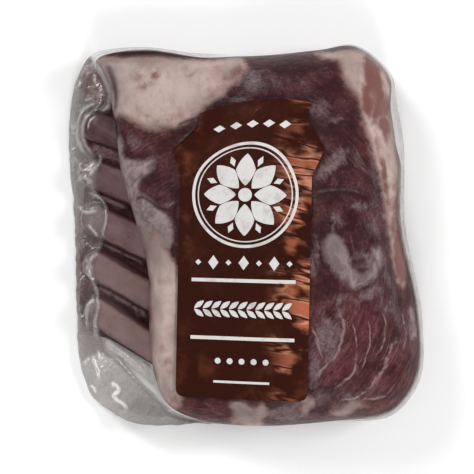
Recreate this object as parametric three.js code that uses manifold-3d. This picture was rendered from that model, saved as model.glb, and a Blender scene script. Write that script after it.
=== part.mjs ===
// A raw short rack of lamb, shrunk tight in a clear vacuum bag that carries one die-cut foil label.
// The pack lies on its bone side with the fat side and the label up, as it would on a counter.
// X runs across the rack, from the rib ends (-X) to the loin (+X). Y runs along the loin. Z is up.
// The origin is under the middle of the pack, on the surface that it lies on.
//
// The sealed bag and the rack in it make one solid: a thick slab of meat, a low skirt of film along
// the rib ends, and the flat rib bones that lie in the skirt and run in under the slab.
//
// Sizes and heights are millimetres. A place seen from above is given in shares of the pack's half
// width and half length, so [-1, 1] is the upper left corner of the rectangle round the pack.

import * as THREE from "three";
import { mergeVertices } from "three/addons/utils/BufferGeometryUtils.js";
import Module from "manifold-3d";

// ---------------------------------------------------------------- driving dimensions

const PACK_WIDTH = 181; // over the film at the rib ends and the loin
const PACK_LENGTH = 196; // along the loin
const RIB_PITCH = 23.3; // from one rib to the next, along Y

// The slab of meat, seen from above, clockwise from its upper left corner.
const SLAB_OUTLINE = [
  [-0.86, 0.93], [-0.6, 0.99], [-0.25, 0.95], [0.09, 0.95], [0.42, 0.98], [0.6, 0.995], [0.815, 0.83],
  [0.9, 0.45], [0.9, 0.06], [0.995, -0.39], [0.98, -0.72], [0.81, -0.915], [0.53, -0.97], [0.09, -1],
  [-0.25, -0.97], [-0.44, -0.89], [-0.52, -0.73], [-0.55, -0.49], [-0.56, -0.17], [-0.63, 0.08],
  [-0.71, 0.34], [-0.745, 0.59], [-0.79, 0.79],
];
const SLAB_CENTRE = [0.11, 0];
const SLAB_RIM = 15; // the height where the slab is widest
const FLAP_ROUND = 11; // how far in from the rim the upper side keeps rising, at the ribs
const LOIN_ROUND = 21; // the same at the loin
const BASE_ROUND = 11; // the same for the underside
const FLAP_TO_LOIN = [-50, 10]; // over these X the one roundness turns into the other
const FLAP_THICKNESS = 27; // at the rib side
const LOIN_RISE = 16.5; // by which the loin is thicker than the flap
const LOIN_SLOPE = [-52, 28]; // over these X the slab rises to the loin's thickness
const SIDE_DROP = 3.5; // by which the slab falls again
const SIDE_SLOPE = [52, 92]; // over these X, towards the loin's side
const END_DROP = 3; // by which the two cut ends are lower than the middle
const MOUNDS = [
  { height: 6, middle: [-0.48, 0.7], halfWidths: [0.4, 0.34] }, // the fat cap
  { height: 2.8, middle: [-0.475, -0.33], halfWidths: [0.11, 0.62] }, // the roll of fat along the ribs
  { height: 2.2, middle: [0.66, -0.46], halfWidths: [0.35, 0.56] }, // the eye of the loin
];

// The low skirt of film, gristle and meat that holds the ribs, clockwise from its upper end.
const SKIRT_OUTLINE = [
  [-0.69, 0.93], [-0.87, 0.92], [-0.955, 0.82], [-0.99, 0.65], [-1, 0.45], [-0.98, 0.21], [-0.955, -0.15],
  [-0.95, -0.46], [-0.91, -0.72], [-0.85, -0.85], [-0.73, -0.94], [-0.56, -0.98], [-0.27, -0.98],
  [-0.13, -0.86], [-0.28, -0.41], [-0.34, 0], [-0.46, 0.41], [-0.57, 0.77],
];
const SKIRT_CENTRE = [-0.68, 0];
const SKIRT_RIM = 4;
const SKIRT_ROUND = 8;
const SKIRT_LOW = 6.5; // its height where it holds film alone
const SKIRT_HIGH = 13; // its height where the ribs go in under the slab
const SKIRT_SLOPE = [-86, -60]; // over these X it rises from the one height to the other
const SKIRT_FOOT = [-92, -52]; // over these Y, at the label's foot, the ribs' height begins
const SKIRT_HEAD = [58, 82]; // over these Y it ends again
const SKIRT_LIFT = 1; // the skirt's underside clears the surface that the slab lies on
const SKIRT_SLIMNESS = 3; // its length in widths
const GATHER = 1.1; // height of the gathers in the film round the rib ends
const GATHER_PITCH = 15;
const GATHER_SLANT = 0.5; // how far a gather moves along Y for each millimetre of X

const RIB_COUNT = 5;
const RIB_WIDTH = 17;
const RIB_THICKNESS = 9.5;
const RIB_LENGTH = 64; // from the rounded end to the root that is hidden in the slab
const FIRST_RIB_TIP = [-0.945, 0.6]; // the outer end of the uppermost rib
const RIB_TIP_HEIGHT = 8.6; // of a bone's middle over the surface, at its free end
const RIB_SLOPE = 4; // degrees by which a bone climbs towards the loin
const FIRST_RIB_TURN = -19; // degrees from +X, seen from above
const RIB_FAN = -3.5; // how much further each next rib is turned
const LONGEST_RIB = 1; // counted from 0: it reaches furthest out
const RIB_SET_BACK = 1.2; // by which each rib away from it starts further in

const RIM_BAND = 1.2; // height of the plain band round a cushion's rim
const RIM_CROWDING = 0.85; // how much finer a cushion's facets get towards its rim, from 0 to 1
const OUTLINE_STEPS = 900; // points on a smooth outline
const WELD_DISTANCE = 1e-4; // corners closer than this are one corner

const UNDER_RELIEF = 2.2; // depth of the hollows between the ribs on the underside
const CHINE_FLAT = [2, 24]; // over these X the ribs' relief fades out into the flat sawn chine

// The label, drawn upright in a frame of its own with its middle at [0, 0].
const LABEL_CENTRE = [-0.01, -0.07];
const LABEL_TURN = -1.2; // degrees
const LABEL_LENGTH = 150;
const LABEL_HALF_WIDTH = 33;
const LABEL_EAR_HALF_WIDTH = 38; // at the two rounded ears near the top
const LABEL_CROWN_HALF_WIDTH = 27.5; // at the top edge
const LABEL_EAR_HEIGHT = 50; // of the ears' tips over the label's middle
const LABEL_EAR_SPAN = 13; // from an ear's tip down to the straight side, and up to the crown
const LABEL_CROWN_RISE = 5; // by which the top edge is arched
const LABEL_CORNER = 4;
const LABEL_ASKEW = [35, 80]; // over these heights the label is laid more and more askew:
const LABEL_LEAN = 4.5; // its crown ends this far to the right,
const LABEL_TILT = 0.12; // and its right side this much higher for each millimetre
const CORNER_ROWS = -0.8; // of the label's rows, from -1 to 1, those below this shape its lower corners
const EAR_ROWS = -0.2; // and those above this shape its ears and crown
const LABEL_GAP = 0.45; // the adhesive, which keeps the label off the film
const LABEL_THICKNESS = 0.5;

// ---------------------------------------------------------------- small helpers

const { degToRad, lerp, smoothstep } = THREE.MathUtils;

/** A place seen from above, from shares of the half width and half length to millimetres. */
function plan([across, along]) {
  return [(across * PACK_WIDTH) / 2, (along * PACK_LENGTH) / 2];
}

/** A hump of height 1 at its middle, fading to 0 on an ellipse; both are in shares, as places are. */
function hump(x, y, middle, halfWidths) {
  const [middleX, middleY] = plan(middle);
  const [halfX, halfY] = plan(halfWidths);
  const away = Math.hypot((x - middleX) / halfX, (y - middleY) / halfY);
  return away < 1 ? (1 - away * away) ** 2 : 0;
}

/** The share of the full height that a rounded edge has reached at this distance in from it. */
function rounded(distance, width) {
  const left = 1 - Math.min(distance / width, 1);
  return Math.sqrt(1 - left * left);
}

/** How far a closed outline reaches from a centre, as a function of the direction's angle. */
function reachOf(outline, centre) {
  const corners = outline.map((point) => new THREE.Vector3(...plan(point), 0));
  const curve = new THREE.CatmullRomCurve3(corners, true, "centripetal");
  const polar = curve.getPoints(OUTLINE_STEPS).slice(1).map((p) => {
    const [dx, dy] = [p.x - centre[0], p.y - centre[1]];
    return { angle: Math.atan2(dy, dx), reach: Math.hypot(dx, dy) };
  });
  polar.sort((p, q) => p.angle - q.angle);
  const [first, last] = [polar[0], polar.at(-1)];
  polar.unshift({ reach: last.reach, angle: last.angle - 2 * Math.PI });
  polar.push({ reach: first.reach, angle: first.angle + 2 * Math.PI });
  return (angle) => {
    const after = Math.max(polar.findIndex((p) => p.angle >= angle), 1);
    const [p, q] = [polar[after - 1], polar[after]];
    return lerp(p.reach, q.reach, (angle - p.angle) / (q.angle - p.angle));
  };
}

/** A geometry stripped to its positions, with the corners that meet welded together. */
function welded(geometry) {
  geometry.deleteAttribute("normal");
  geometry.deleteAttribute("uv");
  return mergeVertices(geometry, WELD_DISTANCE);
}

/** A box from -1 to 1, cut into columns and rows, whose corners are moved by place(a, b, c). */
function shapedBox(columns, rows, place) {
  const box = new THREE.BoxGeometry(2, 2, 2, columns, rows, 1);
  const corner = box.getAttribute("position");
  for (let i = 0; i < corner.count; i++) {
    corner.setXYZ(i, ...place(corner.getX(i), corner.getY(i), corner.getZ(i)));
  }
  return welded(box);
}

/** A closed cushion over an outline, whose upper and lower sides are rounded down to a rim. */
function cushion({ outline, centre, rim, topRound, baseRound, top, base, columns, rows, slimness }) {
  const middle = plan(centre);
  const reach = reachOf(outline, middle);
  return shapedBox(columns, rows, (a, b, c) => {
    const ring = Math.max(Math.abs(a), Math.abs(b));
    const spread = lerp(ring, Math.sin((ring * Math.PI) / 2), RIM_CROWDING);
    const angle = Math.atan2(b * slimness, a);
    const full = reach(angle);
    const x = middle[0] + spread * full * Math.cos(angle);
    const y = middle[1] + spread * full * Math.sin(angle);
    const inwards = (1 - spread) * full;
    const edge = rim + (c * RIM_BAND) / 2;
    const risen = c > 0 ? rounded(inwards, topRound(x)) : rounded(inwards, baseRound);
    return [x, y, lerp(edge, c > 0 ? top(x, y) : base(x, y), risen)];
  });
}

// ---------------------------------------------------------------- the meat, the film skirt and the ribs

/** How many ribs a place lies below the uppermost one, in a direction across the ribs. */
function ribsBelow(x, y) {
  const [tipX, tipY] = plan(FIRST_RIB_TIP);
  const turn = degToRad(FIRST_RIB_TURN + (RIB_FAN * (tipY - y)) / RIB_PITCH);
  return (tipY + (x - tipX) * Math.tan(turn) - y) / RIB_PITCH;
}

/** Height of the slab's upper side: a thin flap at the ribs, a thick loin, and mounds of fat. */
function slabTop(x, y) {
  const ends = END_DROP * ((2 * y) / PACK_LENGTH) ** 2;
  const loin = LOIN_RISE * smoothstep(x, ...LOIN_SLOPE) - SIDE_DROP * smoothstep(x, ...SIDE_SLOPE);
  const rises = MOUNDS.map(({ height, middle, halfWidths }) => height * hump(x, y, middle, halfWidths));
  return rises.reduce((z, rise) => z + rise, FLAP_THICKNESS + loin - ends);
}

/** Height of the underside: hollows between the ribs, fading into the flat sawn chine. */
function underside(x, y) {
  const hollow = 0.5 - 0.5 * Math.cos(2 * Math.PI * ribsBelow(x, y));
  return UNDER_RELIEF * hollow * (1 - smoothstep(x, ...CHINE_FLAT));
}

/** Height of the film skirt: low and gathered at its free edge, higher where the ribs go in. */
function skirtTop(x, y) {
  const inwards = smoothstep(x, ...SKIRT_SLOPE);
  const ribs = smoothstep(y, ...SKIRT_FOOT) * (1 - smoothstep(y, ...SKIRT_HEAD));
  const gathers = GATHER * Math.sin((2 * Math.PI * (y + GATHER_SLANT * x)) / GATHER_PITCH);
  return lerp(SKIRT_LOW, SKIRT_HIGH, inwards * ribs) + gathers * (1 - inwards);
}

/** One rib bone: a flattened capsule from its rounded end to its root inside the slab. */
function ribGeometry(index) {
  const [tipX, tipY] = plan(FIRST_RIB_TIP);
  const setBack = RIB_SET_BACK * Math.abs(index - LONGEST_RIB);
  const bone = new THREE.CapsuleGeometry(RIB_WIDTH / 2, RIB_LENGTH - RIB_WIDTH, 5, 16, 5);
  bone.rotateZ(-Math.PI / 2); // it now lies along X
  bone.scale(1, 1, RIB_THICKNESS / RIB_WIDTH);
  bone.translate(RIB_LENGTH / 2, 0, 0); // its outer end is at the origin
  bone.rotateY(-degToRad(RIB_SLOPE));
  bone.rotateZ(degToRad(FIRST_RIB_TURN + RIB_FAN * index));
  bone.translate(tipX + setBack, tipY - RIB_PITCH * index, RIB_TIP_HEIGHT);
  return welded(bone);
}

/** Closed geometries joined into one by a Boolean union. */
function union(wasm, geometries) {
  const solids = geometries.map((geometry) => new wasm.Manifold(new wasm.Mesh({
    numProp: 3,
    vertProperties: geometry.getAttribute("position").array,
    triVerts: new Uint32Array(geometry.index.array),
  })));
  const joined = solids.reduce((sum, next) => sum.add(next)).getMesh();
  const geometry = new THREE.BufferGeometry();
  geometry.setAttribute("position", new THREE.BufferAttribute(joined.vertProperties, joined.numProp));
  geometry.setIndex(new THREE.BufferAttribute(joined.triVerts, 1));
  return geometry;
}

/** The sealed bag with the rack in it, as one closed solid. */
function bagGeometry(wasm) {
  const slab = cushion({
    outline: SLAB_OUTLINE,
    centre: SLAB_CENTRE,
    rim: SLAB_RIM,
    topRound: (x) => lerp(FLAP_ROUND, LOIN_ROUND, smoothstep(x, ...FLAP_TO_LOIN)),
    baseRound: BASE_ROUND,
    top: slabTop,
    base: underside,
    columns: 38,
    rows: 40,
    slimness: PACK_LENGTH / PACK_WIDTH,
  });
  const skirt = cushion({
    outline: SKIRT_OUTLINE,
    centre: SKIRT_CENTRE,
    rim: SKIRT_RIM,
    topRound: () => SKIRT_ROUND,
    baseRound: SKIRT_ROUND,
    top: skirtTop,
    base: (x, y) => underside(x, y) + SKIRT_LIFT,
    columns: 12,
    rows: 36,
    slimness: SKIRT_SLIMNESS,
  });
  const ribs = Array.from({ length: RIB_COUNT }, (_, index) => ribGeometry(index));
  return union(wasm, [slab, skirt, ...ribs]);
}

// ---------------------------------------------------------------- the label

/** Half the label's width at a height over its middle: straight sides, two ears and a crown. */
function labelHalfWidth(height) {
  const below = LABEL_EAR_HEIGHT - LABEL_EAR_SPAN;
  const above = LABEL_EAR_HEIGHT + LABEL_EAR_SPAN;
  if (height < LABEL_EAR_HEIGHT) {
    return lerp(LABEL_HALF_WIDTH, LABEL_EAR_HALF_WIDTH, smoothstep(height, below, LABEL_EAR_HEIGHT));
  }
  return lerp(LABEL_EAR_HALF_WIDTH, LABEL_CROWN_HALF_WIDTH, smoothstep(height, LABEL_EAR_HEIGHT, above));
}

/** The height of a row of the label's corners: rows lie close at the lower corners and the ears. */
function labelRow(b) {
  const lower = -LABEL_LENGTH / 2;
  const straight = LABEL_EAR_HEIGHT - LABEL_EAR_SPAN;
  const corners = lower + LABEL_CORNER;
  if (b < CORNER_ROWS) return lerp(lower, corners, (b + 1) / (CORNER_ROWS + 1));
  if (b < EAR_ROWS) return lerp(corners, straight, (b - CORNER_ROWS) / (EAR_ROWS - CORNER_ROWS));
  return lerp(straight, LABEL_LENGTH / 2, (b - EAR_ROWS) / (1 - EAR_ROWS));
}

/** A thin label that follows the pack's upper side. */
function labelGeometry() {
  const turn = degToRad(LABEL_TURN);
  const [middleX, middleY] = plan(LABEL_CENTRE);
  return shapedBox(12, 35, (a, b, c) => {
    const v = labelRow(b) - LABEL_CROWN_RISE * a * a * smoothstep(b, 0.5, 1);
    const corner = LABEL_CORNER * (1 - rounded(labelRow(b) + LABEL_LENGTH / 2, LABEL_CORNER));
    const u = a * (labelHalfWidth(v) - corner);
    const askew = smoothstep(v, ...LABEL_ASKEW);
    const [right, up] = [u + LABEL_LEAN * askew, v + LABEL_TILT * u * askew];
    const x = middleX + right * Math.cos(turn) - up * Math.sin(turn);
    const y = middleY + right * Math.sin(turn) + up * Math.cos(turn);
    return [x, y, slabTop(x, y) + LABEL_GAP + (c > 0 ? LABEL_THICKNESS : 0)];
  });
}

// ---------------------------------------------------------------- the pack

/** A named mesh with its own finish. */
function piece(name, geometry, finish) {
  const mesh = new THREE.Mesh(geometry, new THREE.MeshStandardMaterial(finish));
  mesh.name = name;
  return mesh;
}

const wasm = await Module();
wasm.setup();

const pack = new THREE.Group();
pack.name = "vacuum_packed_lamb_rack";
pack.add(
  piece("vacuum_bag", bagGeometry(wasm), { color: 0x6b464a, roughness: 0.3, metalness: 0 }),
  piece("label", labelGeometry(), { color: 0x5e2a17, roughness: 0.35, metalness: 0.8 }),
);

// Centres the pack over the origin and sets it down on the surface.
const size = new THREE.Box3().setFromObject(pack);
const middle = size.getCenter(new THREE.Vector3());
pack.position.set(-middle.x, -middle.y, -size.min.z);

export default pack;
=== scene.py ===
"""A raw short rack of lamb, shrunk tight in a clear vacuum bag that carries one die-cut foil label.

The rack lies on its bone side, with the fat side and the label up. X runs across the rack, from the
rib ends (-X) to the loin (+X), Y runs along the loin, and Z is up. Sizes and places are millimetres
until MM turns them into Blender's metres. A region of the meat is an outline seen from above. Its depth,
the distance in from the outline, goes into an attribute of the mesh, and the finish draws the region's
ragged edge from it.
"""

import logging
import math
from collections.abc import Callable, Iterator, Sequence
from contextlib import contextmanager
from dataclasses import dataclass
from enum import Enum
from functools import cache, cached_property

import bpy
import numpy as np
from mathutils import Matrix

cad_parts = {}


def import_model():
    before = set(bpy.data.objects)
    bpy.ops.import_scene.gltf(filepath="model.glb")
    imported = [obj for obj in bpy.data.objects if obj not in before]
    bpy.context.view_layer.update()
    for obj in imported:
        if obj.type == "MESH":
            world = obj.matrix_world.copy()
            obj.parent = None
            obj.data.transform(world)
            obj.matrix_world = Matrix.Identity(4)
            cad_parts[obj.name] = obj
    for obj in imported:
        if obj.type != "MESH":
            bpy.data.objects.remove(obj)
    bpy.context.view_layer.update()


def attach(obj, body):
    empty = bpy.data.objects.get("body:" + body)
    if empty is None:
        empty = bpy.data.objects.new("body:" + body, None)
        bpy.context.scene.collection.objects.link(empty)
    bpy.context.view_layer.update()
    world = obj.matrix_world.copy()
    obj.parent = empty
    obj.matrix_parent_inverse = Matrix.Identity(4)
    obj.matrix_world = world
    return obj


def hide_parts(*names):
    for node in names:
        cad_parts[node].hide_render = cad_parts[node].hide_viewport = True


LOG = logging.getLogger("lamb_rack")

MM = 0.001  # metres in a millimetre
BODY = "root"

Piece = bpy.types.Object
Material = bpy.types.Material
Socket = bpy.types.NodeSocket
Array = np.ndarray
Point = tuple[float, float]
Colour = tuple[float, float, float]
Place = Callable[[Array, Array, Array], tuple[Array, Array, Array]]


# ---------------------------------------------------------------- numbers that change over a surface


def lerp(start: Array | float, end: Array | float, share: Array | float) -> Array | float:
    """The value that lies this share of the way from start to end."""
    return start + (end - start) * share


def smoothstep(value: Array | float, low: float, high: float) -> Array:
    """0 up to low, 1 from high on, and a smooth rise in between."""
    share = np.clip((value - low) / (high - low), 0.0, 1.0)
    return share * share * (3.0 - 2.0 * share)


def rounded(distance: Array, width: Array | float) -> Array:
    """The share of the full height that a rounded edge has reached at this distance in from it."""
    left = 1.0 - np.clip(distance / width, 0.0, 1.0)
    return np.sqrt(1.0 - left * left)


def smooth_max(first: Array, second: Array, blend: float) -> Array:
    """The higher of two surfaces, with the valley between them filled over this difference in height."""
    share = np.clip(0.5 + 0.5 * (first - second) / blend, 0.0, 1.0)
    return lerp(second, first, share) + blend * share * (1.0 - share)


def turned(x: Array, y: Array, degrees: float) -> tuple[Array, Array]:
    """Places as seen from axes that are turned anticlockwise."""
    cos, sin = math.cos(math.radians(degrees)), math.sin(math.radians(degrees))
    return x * cos + y * sin, y * cos - x * sin


def bumps(x: Array, y: Array, pitch: float, seed: int) -> Array:
    """Smooth random bumps, the same on every run.

    Args:
        x: places across.
        y: places along.
        pitch: how far apart the bumps are.
        seed: which of the random fields.

    Returns:
        Heights from about -1 to 1.
    """
    lattice_size = 64
    draw = np.random.default_rng(seed)
    lattice = draw.uniform(-1.0, 1.0, (lattice_size, lattice_size))
    turn = draw.uniform(0.0, math.pi)
    across = (x * math.cos(turn) + y * math.sin(turn)) / pitch
    along = (y * math.cos(turn) - x * math.sin(turn)) / pitch
    column, row = np.floor(across).astype(int), np.floor(along).astype(int)
    right, up = smoothstep(across - column, 0.0, 1.0), smoothstep(along - row, 0.0, 1.0)

    def corner(right_by: int, up_by: int) -> Array:
        """The lattice's height at one corner of each place's cell."""
        return lattice[(column + right_by) % lattice_size, (row + up_by) % lattice_size]

    return lerp(lerp(corner(0, 0), corner(1, 0), right), lerp(corner(0, 1), corner(1, 1), right), up)


def creases(x: Array, y: Array, pitch: float, seed: int) -> Array:
    """Sharp random ridges from 0 to 1, as in crumpled film."""
    return (1.0 - np.abs(bumps(x, y, pitch, seed)) ** 0.8) ** 2


# ---------------------------------------------------------------- outlines and lines seen from above


def smooth_curve(corners: Sequence[Point], closed: bool, steps: int) -> Array:
    """A centripetal Catmull-Rom curve through some corners.

    Args:
        corners: the points that the curve goes through.
        closed: whether it comes back to its start.
        steps: how many points it has for each corner.

    Returns:
        The curve's points, one in a row. A closed curve doesn't repeat its first one.
    """
    points = np.array(corners, float)
    if closed:
        before, start, end, after = (np.roll(points, shift, axis=0) for shift in (1, 0, -1, -2))
    else:
        ends = np.vstack((2 * points[0] - points[1], points, 2 * points[-1] - points[-2]))
        before, start, end, after = ends[:-3], ends[1:-2], ends[2:-1], ends[3:]
    gap0, gap1, gap2 = (
        np.linalg.norm(b - a, axis=1, keepdims=True) ** 0.5
        for a, b in ((before, start), (start, end), (end, after))
    )
    leave = gap1 * ((start - before) / gap0 - (end - before) / (gap0 + gap1) + (end - start) / gap1)
    arrive = gap1 * ((end - start) / gap1 - (after - start) / (gap1 + gap2) + (after - end) / gap2)
    t = np.arange(steps)[None, :, None] / steps
    hermite = (
        (2 * t**3 - 3 * t**2 + 1) * start[:, None]
        + (t**3 - 2 * t**2 + t) * leave[:, None]
        + (3 * t**2 - 2 * t**3) * end[:, None]
        + (t**3 - t**2) * arrive[:, None]
    ).reshape(-1, 2)
    return hermite if closed else np.vstack((hermite, points[-1]))


def nearest(x: Array, y: Array, starts: Array, ends: Array) -> tuple[Array, Array, Array]:
    """Finds the nearest of some straight stretches to each place.

    Args:
        x: places across.
        y: places along.
        starts: the stretches' first points.
        ends: their last points.

    Returns:
        The distances, 1 or -1 for the left or right side of the nearest stretch, and how far along
        all of the stretches its nearest point lies, counted in stretches.
    """
    best, side, along = np.full(x.shape, np.inf), np.ones(x.shape), np.zeros(x.shape)
    for number, ((ax, ay), (bx, by)) in enumerate(zip(starts, ends)):
        dx, dy = bx - ax, by - ay
        share = np.clip(((x - ax) * dx + (y - ay) * dy) / (dx * dx + dy * dy), 0.0, 1.0)
        distance = np.hypot(x - ax - share * dx, y - ay - share * dy)
        closer = distance < best
        best = np.where(closer, distance, best)
        side = np.where(closer, np.sign(dx * (y - ay) - dy * (x - ax)), side)
        along = np.where(closer, number + share, along)
    return best, side, along


FAR = 12.0  # distances past this are cut off, as nothing reads them
LINE_FADE = 0.22  # of a line's length, over which it fades at each end


def close_to(curve: Array, x: Array, y: Array) -> Array:
    """Which places lie less than FAR outside the upright box round a curve."""
    low, high = curve.min(axis=0) - FAR, curve.max(axis=0) + FAR
    return (x > low[0]) & (x < high[0]) & (y > low[1]) & (y < high[1])


@dataclass(frozen=True)
class Outline:
    """A closed smooth outline, clockwise or not, given by a few corners."""

    corners: tuple[Point, ...]

    @cached_property
    def curve(self) -> Array:
        """The outline's points."""
        return smooth_curve(self.corners, closed=True, steps=6)

    def depth(self, x: Array, y: Array) -> Array:
        """How far in from the outline some places lie.

        Args:
            x: places across.
            y: places along.

        Returns:
            The depths, negative outside and cut off at FAR.
        """
        near = close_to(self.curve, x, y)
        depths = np.full(x.shape, -FAR)
        px, py = x[near], y[near]
        starts, ends = self.curve, np.roll(self.curve, -1, axis=0)
        distance, _, _ = nearest(px, py, starts, ends)
        inside = np.zeros(px.shape, bool)
        for (ax, ay), (bx, by) in zip(starts, ends):
            if ay != by:
                crosses = (ay > py) != (by > py)
                inside ^= crosses & (px < ax + (py - ay) * (bx - ax) / (by - ay))
        depths[near] = np.clip(np.where(inside, distance, -distance), -FAR, FAR)
        return depths

    def reach(self, centre: Point, angle: Array) -> Array:
        """How far the outline reaches from a centre.

        Args:
            centre: a place inside it.
            angle: the directions, in radians from +X.

        Returns:
            The distance to the outline in each direction.
        """
        offsets = self.curve - np.array(centre)
        angles = np.arctan2(offsets[:, 1], offsets[:, 0])
        order = np.argsort(angles)
        lengths = np.hypot(*offsets.T)
        return np.interp(angle, angles[order], lengths[order], period=2 * math.pi)


def union_depth(outlines: Sequence[Outline], x: Array, y: Array) -> Array:
    """How far inside any of several outlines each place lies."""
    return np.max([outline.depth(x, y) for outline in outlines], axis=0)


@dataclass(frozen=True)
class Line:
    """An open smooth line through a few points, such as a sinew or the crest of a fold."""

    points: tuple[Point, ...]
    width: float = 1.0
    height: float = 1.0

    @cached_property
    def curve(self) -> Array:
        """The line's points."""
        return smooth_curve(self.points, closed=False, steps=5)

    def trace(self, x: Array, y: Array) -> tuple[Array, Array]:
        """Follows the line.

        Args:
            x: places across.
            y: places along.

        Returns:
            The distance from the line, negative on its right side and cut off at FAR, and a share that is
            1 along the line and fades to 0 at its two ends.
        """
        near = close_to(self.curve, x, y)
        offsets, fades = np.full(x.shape, FAR), np.zeros(x.shape)
        distance, side, along = nearest(x[near], y[near], self.curve[:-1], self.curve[1:])
        offsets[near] = np.clip(distance * side, -FAR, FAR)
        length = len(self.curve) - 1.0
        fades[near] = smoothstep(np.minimum(along, length - along), 0.0, LINE_FADE * length)
        return offsets, fades

    def crest(self, x: Array, y: Array) -> Array:
        """1 on the line, falling to 0 at about twice its width and at its two ends."""
        offsets, fades = self.trace(x, y)
        return fades * np.exp(-((offsets / self.width) ** 2))


def crests(lines: Sequence[Line], x: Array, y: Array, scaled: bool = True) -> Array:
    """The highest crest of several lines at each place, as a height or, unscaled, as a share."""
    return np.max([(line.height if scaled else 1.0) * line.crest(x, y) for line in lines], axis=0)


# ---------------------------------------------------------------- modelling by hand


def select_only(piece: Piece) -> None:
    """Selects one object and makes it the active one."""
    bpy.ops.object.select_all(action="DESELECT")
    piece.select_set(True)
    bpy.context.view_layer.objects.active = piece


@contextmanager
def edit_mode(piece: Piece) -> Iterator[None]:
    """Edit mode on one object, with all of its mesh selected at the start."""
    select_only(piece)
    bpy.ops.object.mode_set(mode="EDIT")
    bpy.ops.mesh.select_mode(type="FACE")
    bpy.ops.mesh.select_all(action="SELECT")
    yield
    bpy.ops.object.mode_set(mode="OBJECT")


def named(name: str) -> Piece:
    """The active object, given a name for itself and its mesh."""
    piece = bpy.context.object
    piece.name = piece.data.name = name
    return piece


def primitive(add: Callable[..., set[str]], name: str, **sizes: object) -> Piece:
    """Adds a primitive with nothing else selected, and names it."""
    bpy.ops.object.select_all(action="DESELECT")
    add(**sizes)
    return named(name)


def raise_up(piece: Piece, height: float) -> None:
    """Extrudes a flat piece upwards, in metres, to a closed prism whose faces point outwards."""
    with edit_mode(piece):
        bpy.ops.mesh.extrude_region_move(TRANSFORM_OT_translate={"value": (0.0, 0.0, height)})
        bpy.ops.mesh.select_all(action="SELECT")
        bpy.ops.mesh.normals_make_consistent(inside=False)


def read_corners(piece: Piece) -> Array:
    """The places of a mesh's vertices, one in a row."""
    places = np.empty(len(piece.data.vertices) * 3)
    piece.data.vertices.foreach_get("co", places)
    return places.reshape(-1, 3)


def write_corners(piece: Piece, x: Array, y: Array, z: Array) -> None:
    """Moves a mesh's vertices to places in millimetres."""
    piece.data.vertices.foreach_set("co", np.column_stack((x, y, z)).ravel() * MM)
    piece.data.update()


def shaped_box(name: str, columns: int, rows: int, place: Place) -> Piece:
    """A closed box from a grid that is extruded upwards and then shaped.

    Args:
        name: the piece's name.
        columns: cells across.
        rows: cells along.
        place: turns a corner of a box from -1 to 1 into a place in millimetres.

    Returns:
        The piece.
    """
    cells = {"x_subdivisions": columns, "y_subdivisions": rows}
    piece = primitive(bpy.ops.mesh.primitive_grid_add, name, size=2.0, **cells)
    raise_up(piece, 1.0)
    a, b, lift = read_corners(piece).T
    write_corners(piece, *place(a, b, np.where(lift > 0.5, 1.0, -1.0)))
    return piece


def apply_modifier(piece: Piece, kind: str, **settings: object) -> None:
    """Adds a modifier to a piece, sets it and applies it."""
    select_only(piece)
    modifier = piece.modifiers.new(kind.title(), kind)
    for name, value in settings.items():
        setattr(modifier, name, value)
    bpy.ops.object.modifier_apply(modifier=modifier.name)


def copy_of(piece: Piece, name: str) -> Piece:
    """A copy of a piece with its own mesh."""
    select_only(piece)
    bpy.ops.object.duplicate()
    return named(name)


def joined(pieces: Sequence[Piece], name: str) -> Piece:
    """Several pieces as one, with their places in its mesh."""
    bpy.ops.object.select_all(action="DESELECT")
    for piece in pieces:
        piece.select_set(True)
    bpy.context.view_layer.objects.active = pieces[0]
    bpy.ops.object.transform_apply(location=True, rotation=True, scale=True)
    if len(pieces) > 1:
        bpy.ops.object.join()
    return named(name)


def set_attribute(piece: Piece, name: str, values: Array) -> None:
    """Gives each vertex of a mesh a number that its finish reads."""
    attribute = piece.data.attributes.new(name, "FLOAT", "POINT")
    attribute.data.foreach_set("value", values.astype(np.float32))


def dress(piece: Piece, finish: Material) -> Piece:
    """Gives a piece its finish and its place in the frame, and reports it."""
    piece.data.materials.clear()
    piece.data.materials.append(finish)
    select_only(piece)
    bpy.ops.object.shade_smooth()
    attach(piece, BODY)
    LOG.info("%s: %d faces", piece.name, len(piece.data.polygons))
    return piece


# ---------------------------------------------------------------- the form that all pieces share


@dataclass(frozen=True)
class Mound:
    """A smooth rise over an ellipse."""

    height: float
    middle: Point
    half: Point

    def rise(self, x: Array, y: Array) -> Array:
        """The rise at each place, 0 outside the ellipse."""
        away = np.hypot((x - self.middle[0]) / self.half[0], (y - self.middle[1]) / self.half[1])
        return self.height * np.clip(1.0 - away * away, 0.0, 1.0) ** 2


@dataclass(frozen=True)
class Rib:
    """Where one rib bone lies: its outer end, and its direction seen from above."""

    tip: Point
    turn: float  # degrees from +X

    def local(self, x: Array, y: Array) -> tuple[Array, Array]:
        """Distances along the bone from its outer end, and across it."""
        return turned(x - self.tip[0], y - self.tip[1], self.turn)


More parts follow.
